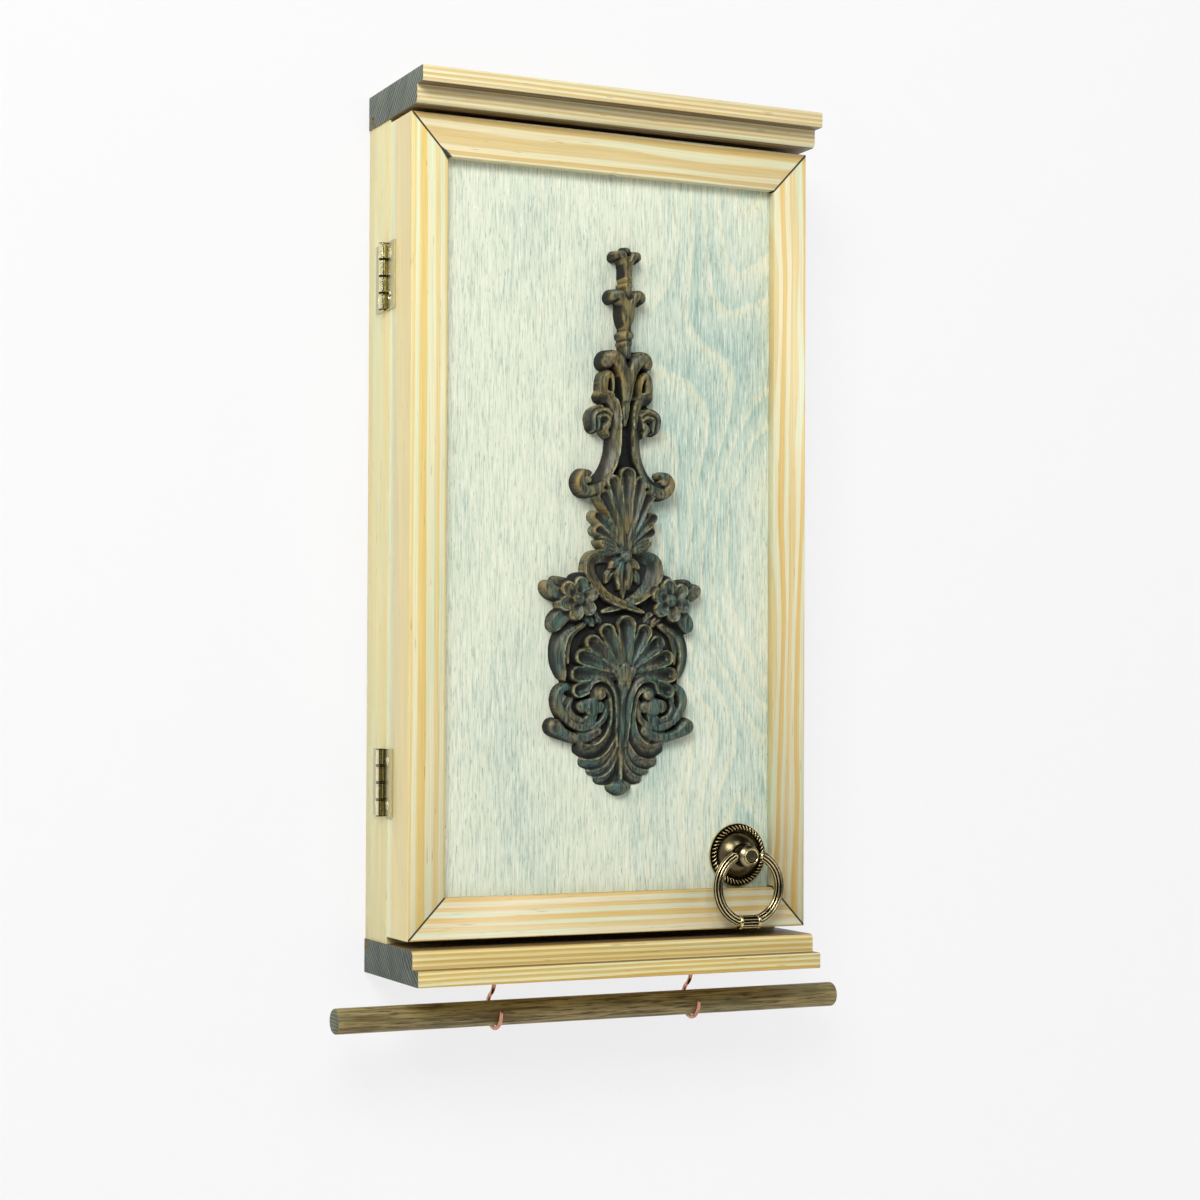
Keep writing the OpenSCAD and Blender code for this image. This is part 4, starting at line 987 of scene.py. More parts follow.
def carve_arms(c):
    """The stem between the palmette and the leaves, with its shells and scroll ends."""
    c.middle(flat_top, (0, 60, 2.4, 8), (0, 50, 2, 7), (0, 44, 0.8, 6))
    c.stroke(reeded_top, (5.8, 40.6, 2, 7.4), (7, 46, 3.3, 8.2), (11, 49.4, 4, 8.8),
             (15.6, 47.8, 4, 8.8), (15.6, 43.4, 3.7, 8))
    c.stroke(round_top, (6.6, 43, 1.5, 8), (9.4, 44, 1.9, 8.2), (10.9, 41.4, 1.8, 8),
             (9.2, 38.8, 1.3, 7.4))
    c.stroke(coved_top, (5.2, 48, 2.2, 9.4), (5.6, 42, 2.9, 9.4), (5.8, 35, 3.1, 9.4),
             (6.6, 29.4, 3.1, 9.3), (8.3, 24.4, 3, 9.2), (11.1, 19.7, 2.9, 9),
             (15, 16.2, 2.7, 8.6), (18, 16, 2, 8))
    c.stroke(round_top, (11.6, 15.6, 1.6, 8.6), (17, 12.2, 2.8, 8.8), (21.8, 12.6, 3.2, 8.8),
             (24.2, 16.6, 2.8, 8.8), (21.9, 20.4, 2.5, 8.6), (18.9, 20.6, 1.8, 8.4))
    c.ball(20.2, 17.4, 2, 9.2)


def carve_leaves(c):
    """The curled leaves above the stem, and the lowest bell flower."""
    c.stroke(level_top, (9.6, 55, 3, 3), (10, 63, 3, 4))
    c.stroke(round_top, (7.4, 57, 1, 7.6), (7.1, 62.6, 1.1, 8.6), (8.4, 67.4, 1.7, 9),
             (11.2, 66.9, 2.3, 9), (12.1, 61.6, 2.4, 8.4), (11.4, 56, 2.2, 7.6))
    c.stroke(coved_top, (12.6, 57.2, 2.9, 8.4), (9.4, 57, 2.9, 9), (6.6, 53.8, 2.6, 9.4),
             (4.8, 48.6, 2, 9.6), (4.2, 43, 1.2, 9.6))
    cup(c, 64, 1, (2.4, 3.2, 4.2, 4.3), 10.8)


def cup(c, foot, size, halves, crest):
    """A bell flower standing on foot, whose two lips roll outwards."""
    c.stroke(ball_top, (2 * size, foot + 2 * size, 2.4 * size, crest - 1.2),
             (3.2 * size, foot + 7 * size, 3.4 * size, crest - 0.3),
             (6 * size, foot + 11.2 * size, 4.1 * size, crest),
             (9 * size, foot + 11.4 * size, 4.4 * size, crest - 0.6),
             (10.4 * size, foot + 9.9 * size, 4.2 * size, crest - 1.6))
    c.middle(ball_top, *[(0, foot + step * size, half, crest - low) for step, half, low in zip(
        (-7, -3, 1.5, 3.8), halves, (1.6, 0.8, 0.3, 0.3))], melt=True)


def carve_finial(c):
    """The bell flowers one above the other, with beads between them."""
    c.middle(flat_top, (0, 91, 2.4, 8.4), (0, 77, 2.2, 8.6))
    cup(c, 97.6, 0.72, (3.2, 4.2, 4.6, 4.4), 10.2)
    c.middle(flat_top, (0, 115, 2.2, 8.4), (0, 106, 2.2, 8.6))
    c.middle(ball_top, (0, 127.4, 2.2, 7.4), (0, 127, 2.3, 7.4))
    cup(c, 118.6, 0.56, (2.9, 2.9, 3, 3), 9.4)
    for y, wide, half, crest in ((82.8, 1.7, 1.5, 9), (86.6, 1.4, 2.4, 9.8),
                                 (110.4, 1.7, 1.4, 9), (113.3, 1.4, 1.3, 9.4)):
        c.middle(ball_top, (-wide, y, half, crest), (wide, y, half, crest))


def blurred(grid, reach):
    """A grid of heights smoothed over a reach in millimetres."""
    cells = reach / FINE_STEP
    span = np.arange(-int(3 * cells), int(3 * cells) + 1)
    bell = np.exp(-0.5 * (span / cells) ** 2)
    bell /= bell.sum()
    for _ in range(2):
        grid = np.array([np.convolve(row, bell, "same") for row in grid]).T
    return grid


def carve():
    """The carving's heights, softened and rounded down to the panel at its outline."""
    c = Carving()
    softening, edge_rounding, mark_blur = 0.24, 0.9, 0.25
    for part in (carve_shade_floor, carve_fronds, carve_curls, carve_side_arcs, carve_flowers,
                 carve_palmette, carve_fan, carve_croziers, carve_arms, carve_leaves,
                 carve_finial):
        part(c)
    cut = (c.level > 0).astype(float)
    soft = blurred(c.level, softening) / np.maximum(blurred(cut, softening), 1e-3)
    cheek = np.clip(2 * blurred(cut, edge_rounding) - 1, 0, 1)
    # Marks for the paint: dark patina and painted shade in hollows and creases, wear and a
    # painted highlight on crests.
    marks = {}
    for name, reach, gain in (("hollow_patina_and_shade", 2.4, -2.0), ("crease_patina_and_shade", 0.7, -0.65),
                              ("rubbed_and_highlight", 0.6, 0.5)):
        around = blurred(c.level, reach) / np.maximum(blurred(cut, reach), 1e-3)
        marks[name] = blurred(np.clip((soft - around) / gain, 0, 1), mark_blur)
    # Slopes that face left, for the painted light from the left.
    marks["painted_left_light"] = np.clip(np.gradient(soft * cheek, FINE_STEP, axis=1) / 3, 0, 1)
    height = soft * np.sqrt(1 - (1 - cheek) ** 2) * (cut > 0)
    return c, blurred(cut, 0.3), height, marks


def cells_inside(inside):
    """The grid's cells with all corners inside: the spots they use, their faces, and the sides
    that only one face has."""
    whole = inside[:-1, :-1] & inside[:-1, 1:] & inside[1:, :-1] & inside[1:, 1:]
    number = np.arange(inside.size).reshape(inside.shape)
    faces = np.stack([number[:-1, :-1][whole], number[:-1, 1:][whole], number[1:, 1:][whole],
                      number[1:, :-1][whole]], 1)
    used, faces = np.unique(faces, return_inverse=True)
    faces = faces.reshape(-1, 4)
    sides = np.concatenate([faces[:, [k, (k + 1) % 4]] for k in range(4)])
    code = (len(used), 1)
    return used, faces, sides[~np.isin(sides @ code, sides[:, ::-1] @ code)]


def make_ornament():
    """The carving as one closed mesh, whose edge is drawn onto the outline, where cover is one
    half, and goes down to the panel in a skirt."""
    c, cover, height, marks = carve()
    fall_y, fall_x = np.gradient(cover, FINE_STEP)
    pull = np.clip(cover - 0.5, 0, 1) / np.maximum(fall_x ** 2 + fall_y ** 2, 0.08)
    coarse = (slice(None, None, 2), slice(None, None, 2))
    used, faces, rim = cells_inside(cover[coarse] > 0.5)
    total = len(used)
    edge = np.unique(rim)
    gx, gy = np.meshgrid(c.x, c.y)
    place = [grid[coarse].ravel()[used] for grid in (gx, gy, height)]
    for spot, fall in zip(place, (fall_x, fall_y)):
        spot[edge] -= np.clip((fall * pull)[coarse].ravel()[used][edge], -0.4, 0.4)
    place[2][edge] = SKIRT_HEIGHT
    foot = np.full(total, -1)
    foot[edge] = total + np.arange(len(edge))
    x, y, rise = (np.concatenate([spot, spot[edge]]) for spot in place)
    rise[total:] = 0
    skirt = np.stack([rim[:, 1], rim[:, 0], foot[rim[:, 0]], foot[rim[:, 1]]], 1)
    points = np.stack([CARVING_X + x + CARVING_LEAN * y, PANEL_FACE - rise,
                       CARVING_Z + CARVING_STRETCH * y], 1)
    data = mesh_of("carving", points, np.vstack([faces, skirt]).tolist())
    for name, grid in marks.items():
        values = grid[coarse].ravel()[used]
        set_mark(data, name, np.concatenate([values, values[edge]]))
    work = bmesh.new()
    work.from_mesh(data)
    bmesh.ops.triangle_fill(work, edges=[e for e in work.edges if e.is_boundary])
    work.to_mesh(data)
    work.free()
    settle(placed("carving", data), "door", ["ornament"], ["carved_patina_and_painted_light"],
           round_to=80)


# Tools that sweep and repeat

def tool(name, ins):
    """A Geometry Nodes tree: its graph, its inputs and a function that closes it."""
    graph, at = named_tree(name, "GeometryNodeTree", [("Start", "Geometry", None)] + ins
                           + [("Finish", "Material", None)], [("Made", "Geometry")])

    def close(geometry):
        whole = graph.add("GeometryNodeRealizeInstances", {0: geometry})
        done = graph.add("GeometryNodeSetMaterial", {"Geometry": whole,
                                                     "Material": at["Finish"]})
        graph.add("NodeGroupOutput", {0: done}, out=None)
    return graph, at, close


def run_tool(name, tool_name, points, values, finish, edges=(), marks=None):
    """Runs a tool on points in millimetres and gives its plain mesh as an object."""
    start = mesh_of(name, points, (), edges)
    for mark, (kind, field, rows) in (marks or {}).items():
        set_mark(start, mark, rows, kind, field)
    piece = placed(name, start)
    run = piece.modifiers.new("make", "NODES")
    run.node_group = bpy.data.node_groups[tool_name]
    sockets = {item.name: item.identifier for item in run.node_group.interface.items_tree
               if item.item_type == "SOCKET" and item.in_out == "INPUT"}
    for label, value in values.items():
        run[sockets[label]] = value
    run[sockets["Finish"]] = bpy.data.materials[finish]
    return plain_mesh(piece)


def wire_tool():
    """A wire swept along the starting edges, reeded if asked, thick by its girth mark."""
    g, at, close = tool("wire_along_path", [
        ("Wire Radius", "Float", 1 * MM), ("Sides", "Int", 32), ("Reeds", "Float", 0.0),
        ("Reed Depth", "Float", 0.0)])
    path = g.add("GeometryNodeMeshToCurve", {0: at["Start"]})
    girth = g.add("GeometryNodeInputNamedAttribute", {"Name": "girth"}, data_type="FLOAT")
    path = g.add("GeometryNodeSetCurveRadius", {"Curve": path, "Radius": girth})
    ring = g.add("GeometryNodeCurvePrimitiveCircle", {"Resolution": at["Sides"],
                                                      "Radius": at["Wire Radius"]})
    place = g.add("GeometryNodeInputPosition")
    x, y, _ = g.split(place)
    wave = g.math("COSINE", g.math("MULTIPLY", g.math("ARCTAN2", y, x), at["Reeds"]))
    deep = g.math("POWER", g.math("MULTIPLY_ADD", wave, -0.5, 0.5), 1.6)
    deep = g.math("MULTIPLY", deep, g.math("GREATER_THAN", at["Reeds"], 0.5))
    shrink = g.math("MULTIPLY", deep, g.math("MULTIPLY", at["Reed Depth"], -1.0))
    # The reed grooves are marked sunk: dark patina and painted shade between the reeds.
    ring = g.add("GeometryNodeStoreNamedAttribute", {
        "Geometry": ring, "Name": "sunk", "Value": g.math("POWER", deep, 0.5)},
        data_type="FLOAT", domain="POINT")
    inward = g.add("ShaderNodeVectorMath", {0: place, "Scale": shrink}, operation="SCALE")
    ring = g.add("GeometryNodeSetPosition", {"Geometry": ring, "Offset": inward})
    close(g.add("GeometryNodeCurveToMesh", {"Curve": path, "Profile Curve": ring,
                                            "Fill Caps": True}))


def swept_wire(name, path, girth, finish, **sizes):
    """A wire along a path in millimetres, as thick at each point as its girth says."""
    return run_tool(name, "wire_along_path", path,
                    {key.replace("_", " "): value for key, value in sizes.items()}, finish,
                    [(i, i + 1) for i in range(len(path) - 1)],
                    {"girth": ("FLOAT", "value", girth)})


def repeat_tool():
    """One small piece set on every starting point, turned by the point's own mark."""
    g, at, close = tool("piece_on_points", [("Piece", "Object", None)])
    piece = g.add("GeometryNodeObjectInfo", {"Object": at["Piece"]}, out="Geometry")
    turn = g.add("GeometryNodeInputNamedAttribute", {"Name": "turn"}, data_type="FLOAT_VECTOR")
    close(g.add("GeometryNodeInstanceOnPoints", {"Points": at["Start"], "Instance": piece,
                                                 "Rotation": turn}))


def rope_tool():
    """A round rope edge: slanted strands side by side on a circle, facing the door's front."""
    g, at, close = tool("rope_edge", [
        ("Strands", "Int", 42), ("Rim Radius", "Float", 13 * MM), ("Slant", "Float", 0.8),
        ("Strand Size", "Vector", (2 * MM, 1 * MM, 1 * MM)), ("Middle", "Vector", (0, 0, 0))])
    ring = g.add("GeometryNodeMeshCircle", {"Vertices": at["Strands"],
                                            "Radius": at["Rim Radius"]})
    strand = g.add("GeometryNodeMeshUVSphere", {"Segments": 14, "Rings": 9, "Radius": 1.0})
    x, y, _ = g.split(g.add("GeometryNodeInputPosition"))
    turn = g.xyz(0.0, 0.0, g.math("ADD", g.math("ARCTAN2", y, x), at["Slant"]))
    rope = g.add("GeometryNodeInstanceOnPoints", {
        "Points": ring, "Instance": strand, "Rotation": turn, "Scale": at["Strand Size"]})
    close(g.add("GeometryNodeTransform", {"Geometry": rope, "Translation": at["Middle"],
                                          "Rotation": (math.pi / 2, 0, 0)}))


class Parts:
    """Points in millimetres, faces and how sunk each point lies, gathered for one piece."""

    def __init__(self):
        self.points, self.faces, self.sunk = [], [], []

    def add(self, points, faces, sunk):
        start = len(self.points)
        self.points.extend(tuple(p) for p in points)
        self.faces.extend(tuple(start + i for i in face) for face in faces)
        self.sunk.extend(sunk)

    def turned(self, profile, middle, axis, sides):
        """A profile of (radius, along, sunk) turned round an axis through middle."""
        axis = Vector(axis)
        first = axis.orthogonal().normalized()
        second = axis.cross(first)
        points, faces, sunk, rings = [], [], [], []
        for radius, along, deep in profile:
            count = 1 if radius == 0 else sides
            rings.append(range(len(points), len(points) + count))
            for k in range(count):
                t = 2 * math.pi * k / sides
                points.append(Vector(middle) + axis * along
                              + radius * (math.cos(t) * first + math.sin(t) * second))
                sunk.append(deep)
        for low, high in zip(rings, rings[1:]):
            for k in range(sides):
                corners = [low[k % len(low)], low[(k + 1) % len(low)],
                           high[(k + 1) % len(high)], high[k % len(high)]]
                faces.append(tuple(dict.fromkeys(corners)))
        self.add(points, faces, sunk)

    def walled(self, low, high, low_deep, high_deep):
        """Walls between two loops of points, each with how sunk it lies."""
        count = len(low)
        self.add(low + high, [(k, (k + 1) % count, count + (k + 1) % count, count + k)
                              for k in range(count)], [low_deep] * count + [high_deep] * count)

    def take(self, piece):
        """Adds a made object's mesh and drops the object."""
        data = piece.data
        sunk = [0.0] * len(data.vertices)
        if "sunk" in data.attributes:
            data.attributes["sunk"].data.foreach_get("value", sunk)
        self.add([v.co / MM for v in data.vertices], [p.vertices for p in data.polygons], sunk)
        bpy.data.objects.remove(piece)

    def mesh(self, name):
        data = mesh_of(name, self.points, self.faces)
        set_mark(data, "sunk", self.sunk)
        return data

    def finish(self, name, node, slot, finishes, pick=None):
        """Hands the piece over in place of its node, on the node's own body."""
        settle(placed(name, self.mesh(name)), BODY_OF[node], [node], finishes, pick)


def softened(profile, ease=0.25, steps=3):
    """A turned profile with its corners rounded over."""
    marks = np.array(profile, float)
    made = [marks[0]]
    for before, here, after in zip(marks, marks[1:], marks[2:]):
        ends = []
        for other in (before, after):
            gap = max(np.hypot(*(other - here)[:2]), 1e-6)
            ends.append(here + (other - here) * min(0.45, ease / gap))
        for t in np.linspace(0, 1, steps + 1):
            made.append((1 - t) ** 2 * ends[0] + 2 * t * (1 - t) * here + t ** 2 * ends[1])
    made.append(marks[-1])
    return [tuple(float(v) for v in m) for m in made]


def arc(middle, radius, start, end, count):
    """Points (across, up) on an arc from start to end degrees."""
    return [(middle[0] + radius * math.cos(t), middle[1] + radius * math.sin(t))
            for t in np.radians(np.linspace(start, end, count)).tolist()]


def bulge(radius, start, end, count, sunk=0.0, out=0.0, along=0.0):
    """A round stretch of a turned profile, from start to end in radians off its axis."""
    return [(out + radius * math.sin(t), along + radius * math.cos(t), sunk)
            for t in np.linspace(start, end, count)]


# Ring pull

def make_rose():
    """The pull's round plate: rope rim, a groove dark with patina and painted shade, and dome."""
    dome_r, dome_foot_r, boss_seat_r, dome_sink = 13.42, 11.4, 5.76, 5.42
    rope_r, rope_rise, rope_crest, rope_depth = 13.3, 1.7, 3.3, 1.2
    rose = Parts()
    rim = softened([(0, 0, 0), (15.2, 0, 0.3), (15.5, 0.6, 0.1), (15.3, 1.3, 0.3)])
    # The groove is marked fully sunk: dark patina and painted shade.
    groove = [(14.8, 1.5, 1), (14.2, 1.6, 1), (13.2, 1.6, 1), (12.3, 1.5, 1), (11.9, 1.4, 1),
              (11.75, 1.5, 0.9), (11.6, 1.75, 0.6)]
    dome = bulge(dome_r, math.asin(dome_foot_r / dome_r), math.asin(boss_seat_r / dome_r), 18,
                 0.635, along=-dome_sink)
    rose.turned(rim + groove + dome + [(5.5, 6.7, 0.7), (0, 6.7, 1)],
                (PULL_X, PANEL_FACE, PULL_Z), (0, -1, 0), 96)
    strands = len(rose.points)
    rose.take(run_tool("rope", "rope_edge", [(0, 0, 0)], {
        "Strands": 46, "Rim Radius": rope_r * MM, "Slant": 0.62,
        "Strand Size": (1.95 * MM, 0.47 * MM, 1.6 * MM),
        "Middle": (PULL_X * MM, (PANEL_FACE - rope_rise) * MM, PULL_Z * MM)}, "bronze"))
    # The strands darken towards the plate: painted shade in the gaps between strands.
    crest = PANEL_FACE - rope_crest
    rose.sunk[strands:] = [float(np.clip((y - crest) / rope_depth - 0.25, 0, 1))
                           for _, y, _ in rose.points[strands:]]
    rose.finish("pull_rose_turned", "pull_rose", "antique_bronze", ["bronze"])


def make_boss():
    """The turned boss in the rose's middle, which the ring swings in."""
    boss = Parts()
    # Its foot and the groove round its end disc are marked sunk: painted shade in those recesses.
    boss.turned(softened([(0, 6.72, 0), (5.0, 6.72, 1), (5.4, 7.3, 0.7), (5.4, 13.4, 0.6),
                          (3.85, 14.6, 0.4), (3.75, 15.6, 0.0), (3.45, 16, 0.0),
                          (3.1, 15.75, 0.5), (2.9, 15.4, 1.0), (2.6, 15.4, 0.1),
                          (0, 15.45, 0.0)], 0.15),
                (PULL_X, PANEL_FACE, PULL_Z), (0, -1, 0), 64)
    boss.finish("pull_boss_turned", "pull_boss", "antique_bronze", ["bronze"])


def make_ring():
    """The swinging ring: a reeded wire that thins to its ends, and a reeded collared barrel."""
    mean_r, opening, wire_r, thin_end, swell = 16.8, 26.9, 2.45, 0.6, 0.42
    barrel_half, barrel_r, barrel_drop, barrel_taper = 5.4, 3.2, 31.8, 0.1
    collar_out, collar_r, collar_half, collar_bead = 4.9, 3.0, 0.85, 0.62
    ball_out, ball_r, pin_out, pin_r, pin_length = 7.6, 1.9, 6.4, 1.0, 4.2
    ring = Parts()
    low_z = PULL_Z - mean_r * math.cos(math.radians(opening))
    turn = arc((PULL_X, low_z), mean_r, 90 + opening, 450 - opening, 150)
    share = np.linspace(0, 1, len(turn))
    ring.take(swept_wire("ring_wire", [(x, PIVOT_Y, z) for x, z in turn],
                         thin_end + swell * np.sin(np.pi * share) ** 0.5, "bronze",
                         Wire_Radius=wire_r * MM, Sides=90, Reeds=9.0, Reed_Depth=0.24))
    barrel = np.linspace(-barrel_half, barrel_half, 23)
    barrel_z = PULL_Z - barrel_drop
    ring.take(swept_wire("barrel", [(PULL_X + x, PIVOT_Y, barrel_z) for x in barrel],
                         1 - barrel_taper * (barrel / barrel_half) ** 2, "bronze",
                         Wire_Radius=barrel_r * MM, Sides=96, Reeds=12.0, Reed_Depth=0.2))
    for way in (-1, 1):
        collar = [(collar_r + collar_bead * math.sin(t), -collar_half * math.cos(t), 0.0)
                  for t in np.linspace(0, math.pi, 9)]
        ring.turned([(0, -collar_half, 0)] + collar + [(0, collar_half, 0)],
                    (PULL_X + way * collar_out, PIVOT_Y, barrel_z), (1, 0, 0), 48)
        ball = [(ball_r * math.sin(t), -ball_r * math.cos(t), 0.1 if 0.3 < t < 2.8 else 0.4)
                for t in np.linspace(0, math.pi, 15)]
        ball[0], ball[-1] = (0, -ball_r, 0.4), (0, ball_r, 0.4)
        ring.turned(ball, (PULL_X + way * ball_out, PIVOT_Y, PULL_Z), (1, 0, 0), 32)
        ring.turned([(0, 0, 1), (pin_r, 0, 1), (pin_r, pin_length, 1), (0, pin_length, 1)],
                    (PULL_X + way * pin_out, PIVOT_Y, PULL_Z), (-way, 0, 0), 24)
    ring.finish("pull_ring_reeded", "pull_ring", "antique_bronze", ["bronze"])


# Hinges

LEAF_INNER_X = high_corner("hinge_case_leaf_upper")[0]
LEAF_THICK, LEAF_HALF_HEIGHT, LEAF_NEAR, LEAF_FAR = 1, 16, 2.1, 12.3
LEAF_OUTER_X = LEAF_INNER_X - LEAF_THICK
LEAF_DEEP = 0.42
SCREW_OUT, SCREW_STEP = 7.2, 10.25
SINK_R, BORE_R, LEAF_EASE = 2.36, 1.2, 0.12
KNUCKLE_R, EYE_R, KNUCKLE_GAP, PIN_R, STRAP_LENGTH = 1.8, 0.96, 0.1, 0.9, 2.4


def drilled_face(parts, x, sides, bores):
    """A flat face at x with round bores (y, z, radius); gives its loops of points."""
    near, far, low, high = sides
    work = bmesh.new()
    loops = [[(near, low), (far, low), (far, high), (near, high)]]
    loops += [[(y + r * math.cos(t), z + r * math.sin(t))
               for t in np.linspace(0, 2 * math.pi, 40, endpoint=False).tolist()]
              for y, z, r in bores]
    for loop in loops:
        rim = [work.verts.new((x, y, z)) for y, z in loop]
        for a, b in zip(rim, rim[1:] + rim[:1]):
            work.edges.new((a, b))
    bmesh.ops.triangle_fill(work, edges=work.edges)
    work.verts.index_update()
    parts.add([v.co for v in work.verts], [[v.index for v in f.verts] for f in work.faces],
              [LEAF_DEEP] * len(work.verts))
    work.free()
    return [[(x, y, z) for y, z in loop] for loop in loops]


def make_knuckle(leaf, way, low, high):
    """One rolled eye of a leaf, and the strap that joins it to the leaf's plate."""
    pin_x, pin_y = HINGE_PIN
    tall = high - low
    # The last 0.32 mm at each end of a knuckle is marked sunk: painted shade in the gaps between
    # knuckles.
    leaf.turned(softened([
        (EYE_R, 0, 1), (EYE_R, 0.01, 1), (KNUCKLE_R, 0.01, 1), (KNUCKLE_R, 0.32, 1),
        (KNUCKLE_R, 0.6, 0.0), (KNUCKLE_R, tall - 0.6, 0.0), (KNUCKLE_R, tall - 0.32, 1),
        (KNUCKLE_R, tall, 1), (EYE_R, tall, 1), (EYE_R, tall - 0.01, 1)], 0.1, 2),
        (pin_x, pin_y, low), (0, 0, 1), 48)
    strap_end = pin_y + way * STRAP_LENGTH
    strap = [(LEAF_OUTER_X, pin_y), (LEAF_OUTER_X, strap_end), (LEAF_INNER_X - 0.05, strap_end),
             (LEAF_INNER_X - 0.05, pin_y)]
    leaf.walled([(x, y, low) for x, y in strap], [(x, y, high) for x, y in strap],
                LEAF_DEEP, LEAF_DEEP)
    start = len(leaf.points) - 8
    leaf.faces += [tuple(start + i for i in range(4)), tuple(start + 4 + i for i in range(4))]


def make_hinge_leaf(node, way, first, middle):
    """A drilled leaf with rolled knuckles; way is 1 for the case's leaf, -1 for the door's."""
    leaf = Parts()
    pin_y = HINGE_PIN[1]
    near, far = sorted((pin_y + way * LEAF_NEAR, pin_y + way * LEAF_FAR))
    foot, head = middle - LEAF_HALF_HEIGHT, middle + LEAF_HALF_HEIGHT
    bores = [(pin_y + way * SCREW_OUT, middle + step) for step in (-SCREW_STEP, SCREW_STEP)]
    faces = []
    for x, ease, bore_r in ((LEAF_OUTER_X, LEAF_EASE, SINK_R), (LEAF_INNER_X, 0.0, BORE_R)):
        faces.append(drilled_face(leaf, x, (near + ease, far - ease, foot + ease, head - ease),
                                  [(y, z, bore_r) for y, z in bores]))
    shoulder = [(LEAF_OUTER_X + LEAF_EASE, y, z) for _, y, z in faces[1][0]]
    leaf.walled(faces[0][0], shoulder, LEAF_DEEP, 0.0)
    leaf.walled(shoulder, faces[1][0], 0.0, LEAF_DEEP)
    # The countersink walls are marked fully sunk: painted shade round the screw heads.
    for top, bottom in zip(faces[0][1:], faces[1][1:]):
        leaf.walled(top, bottom, LEAF_DEEP, 1.0)
    step = LEAF_HALF_HEIGHT / 2
    for k in (first, first + 2):
        make_knuckle(leaf, way, foot + step * k + KNUCKLE_GAP,
                     foot + step * (k + 1) - KNUCKLE_GAP)
    leaf.finish(node + "_rolled", node, "hinge_brass", ["hinge_metal"])


def make_hinges():
    """Both hinges: the case's leaf, the door's leaf and the pin."""
    for end, middle in HINGE_MIDDLES.items():
        make_hinge_leaf("hinge_case_leaf_" + end, 1, 0, middle)
        make_hinge_leaf("hinge_door_leaf_" + end, -1, 1, middle)
        pin = Parts()
        half = LEAF_HALF_HEIGHT
        pin.turned(softened([(0, -half, 0.1), (PIN_R, -half, 0.2), (PIN_R, half, 0.2),
                             (0, half, 0.1)], 0.2), HINGE_PIN + (middle,), (0, 0, 1), 32)
        pin.finish("hinge_pin_" + end + "_rod", "hinge_pin_" + end, "hinge_brass",
                   ["hinge_metal"])


# Screws and pegs

def screw_shape(head_r, shank_r, length, raised):
    """One slotted countersunk screw, its head's edge at the origin and its middle raised."""
    sides, rings, thread_pitch, point_length = 48, 9, 1.3, 1.6
    slot_half, slot_end, slot_deep = 0.16 * head_r, 0.86 * head_r, 0.24 * head_r
    around = [2 * math.pi * k / sides for k in range(sides)]
    points, sunk = [(0, 0, -0.28)], [1.0]
    for i in range(1, rings + 1):
        r = head_r * i / rings
        dome = raised * (1 - (i / rings) ** 2)
        for t in around:
            across = abs(r * math.sin(t))
            slot = float(np.clip((slot_half - across) / (0.05 * head_r) + 0.5, 0, 1))
            slot *= float(np.clip((slot_end - r) / (0.06 * head_r) + 0.5, 0, 1))
            points.append((r * math.cos(t), r * math.sin(t), dome - slot * slot_deep))
            # The slot and the head's edge are marked sunk: painted shade in the slot and round
            # the head.
            sunk.append(max(slot, 0.5 if i == rings else 0.0))
    neck = head_r - shank_r
    profile = [(shank_r, -neck, 0.3)]
    turns = int(length / thread_pitch)
    for k in range(turns):
        top = neck + 0.5 + k * (length - head_r - 1.5) / turns
        profile += [(shank_r * 0.82, -top, 1), (shank_r, -top - 0.4, 0)]
    profile.append((shank_r * 0.8, -length + point_length, 0.4))
    for radius, along, deep in profile:
        points += [(radius * math.cos(t), radius * math.sin(t), along) for t in around]
        sunk += [deep] * sides
    tip, last = len(points), len(points) - sides
    faces = [(0, 1 + k, 1 + (k + 1) % sides) for k in range(sides)]
    for start in range(1, last, sides):
        faces += [(start + k, start + k + sides, start + (k + 1) % sides + sides,
                   start + (k + 1) % sides) for k in range(sides)]
    faces += [(last + k, tip, last + (k + 1) % sides) for k in range(sides)]
    screw = Parts()
    screw.add(points + [(0, 0, -length)], faces, sunk + [0.2])
    return screw


def facing(way, spin):
    """The turn that points a piece's top along way, spun about itself."""
    return tuple((Vector(way).to_track_quat("Z", "Y") @ Quaternion((0, 0, 1), spin)).to_euler())


def set_out(node, name, shape, places, finish, slot):
    """One shape set out at each (x, y, z, turn), as the whole of a node."""
    one = placed("one", shape.mesh("one"))
    made = run_tool(node + "_set", "piece_on_points", [p[:3] for p in places], {"Piece": one},
                    finish, marks={"turn": ("FLOAT_VECTOR", "vector", [p[3] for p in places])})
    whole = Parts()
    whole.take(made)
    bpy.data.objects.remove(one)
    whole.finish(name, node, slot, [finish])


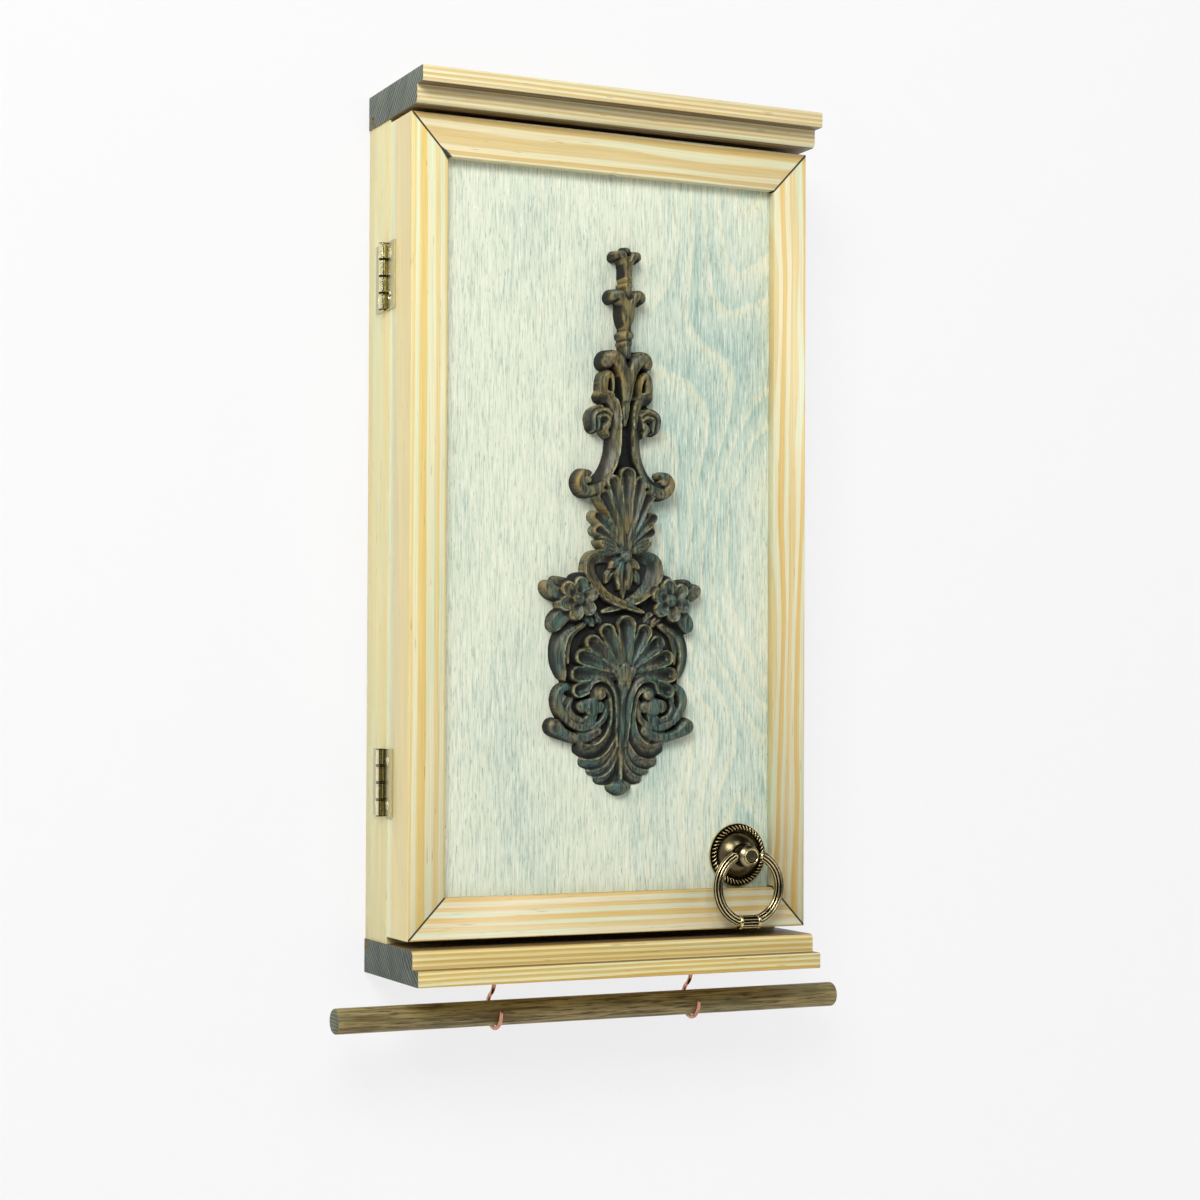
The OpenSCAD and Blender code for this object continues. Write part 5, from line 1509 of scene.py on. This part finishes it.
def make_screws():
    """The small screws of the leaves, and the large ones of crown and base."""
    small = screw_shape(2.2, 1.1, 10.8, 0.3)
    large = screw_shape(3.2, 1.6, 35.5, 0.1)
    for node, way, turns in (("hinge_case_screws", 1, (0.5, 1.9, -0.4, 1.1)),
                             ("hinge_door_screws", -1, (1.3, 0.2, 2.4, -0.7))):
        heights = [middle + step for middle in HINGE_MIDDLES.values()
                   for step in (SCREW_STEP, -SCREW_STEP)]
        set_out(node, node + "_slotted", small, [
            (LEAF_OUTER_X, HINGE_PIN[1] + way * SCREW_OUT, z, facing((-1, 0, 0), turn))
            for z, turn in zip(heights, turns)], "hinge_metal", "hinge_brass")
    side_x, rows_y, head_sink = middle_of("side_board_right")[0], (-11, -21), 0.1
    for node, z, up in (("crown_screws", high_corner("crown_board")[2] - head_sink, 1),
                        ("base_screws", low_corner("base_board")[2] + head_sink, -1)):
        set_out(node, node + "_slotted", large, [
            (x, y, z, facing((0, 0, up), 0.6 + 0.05 * x + 0.2 * y))
            for x in (-side_x, side_x) for y in rows_y], "zinc", "zinc_steel")


def make_pegs():
    """Turned pegs with round knobs, set out along the rail."""
    one = Parts()
    knob_r, knob_along, step = 3, 8, 32
    knob = [(knob_r * math.sin(t), knob_along - knob_r * math.cos(t), 0)
            for t in np.linspace(0.6, math.pi, 12)]
    knob[-1] = (0, knob_along + knob_r, 0)
    one.turned([(0, -7, 0), (1.6, -7, 0), (1.6, 0, 0), (1.5, 2, 0), (1.35, 4, 0),
                (1.45, 5.2, 0)] + knob, (0, 0, 0), (0, -1, 0), 32)
    rail_face, rail_z = low_corner("peg_rail")[1], middle_of("peg_rail")[2]
    set_out("necklace_pegs", "necklace_pegs_slotted", one,
            [(k * step, rail_face, rail_z, (0, 0, 0)) for k in range(-2, 3)],
            "pine_dowel", "inner_dowel")


# Hooks, rod and the rest

def make_hooks():
    """The wire hooks: a loop, a neck bent back over it, and a straight end in the base."""
    wire_r, loop_r, stem = 1.0, 8.5, 12.8
    rod_y = middle_of("hanging_rod")[1]
    loop_z = round(low_corner("rod_hook_left")[2] + loop_r + wire_r, 2)
    loop = arc((rod_y, loop_z), loop_r, 175, 420, 60)
    neck = arc((rod_y + loop_r, loop_z + 2 * loop_r * math.sin(math.radians(60))), loop_r,
               240, 180, 18)
    neck_top = neck[-1][1]
    path = loop + neck[1:] + [(rod_y, neck_top + 2), (rod_y, neck_top + stem)]
    girth = np.ones(len(path))
    girth[:3] = (0.62, 0.88, 0.98)
    for node in ("rod_hook_left", "rod_hook_right"):
        x = middle_of(node)[0]
        hook = Parts()
        hook.take(swept_wire("hook", [(x, y, z) for y, z in path], girth, "copper",
                             Wire_Radius=wire_r * MM, Sides=28))
        hook.finish(node + "_wire", node, "copper_wire", ["copper"])


def make_rod():
    """The turned rod with eased ends."""
    rod = Parts()
    half, radius, ease = high_corner("hanging_rod")[0], 6.0, 1.5
    end = bulge(ease, 0, math.pi / 2, 7, 0, radius - ease, half - ease)
    start = [(r, -along, deep) for r, along, deep in end]
    body = [(radius, x, 0) for x in np.linspace(-120, 120, 9)]
    rod.turned([(0, -half, 0)] + start + body + end[::-1] + [(0, half, 0)],
               middle_of("hanging_rod"), (1, 0, 0), 96)
    rod.finish("hanging_rod_turned", "hanging_rod", "stained_dowel", ["rod_stain", "rod_end"],
               lambda face: int(abs(face.normal.x) > 0.55))


def make_small_parts():
    """Pieces that keep their own shape, some with eased edges."""
    for node, slot, finish, ease in (("catch_magnet", "zinc_steel", "magnet_face", 0.3),
                                     ("door_bumpers", "felt", "felt_dot", 0.3),
                                     ("strike_plate", "zinc_steel", "zinc", 0.2),
                                     ("pull_washer", "zinc_steel", "zinc", 0.2)):
        eased(node, [finish], ease)
    for node, finish in (("earring_bar_upper", "pine_dowel"), ("earring_bar_lower", "pine_dowel"),
                         ("strike_screw", "zinc"), ("pull_screw", "zinc")):
        dress(node, finish)


set_camera()
make_light()
make_stage()
make_woods()
make_patina_and_painted_light()
make_metals()
make_felt()
wire_tool()
repeat_tool()
rope_tool()
make_boards()
make_ornament()
make_rose()
make_boss()
make_ring()
make_hinges()
make_screws()
make_hooks()
make_rod()
make_pegs()
make_small_parts()

bpy.context.view_layer.update()
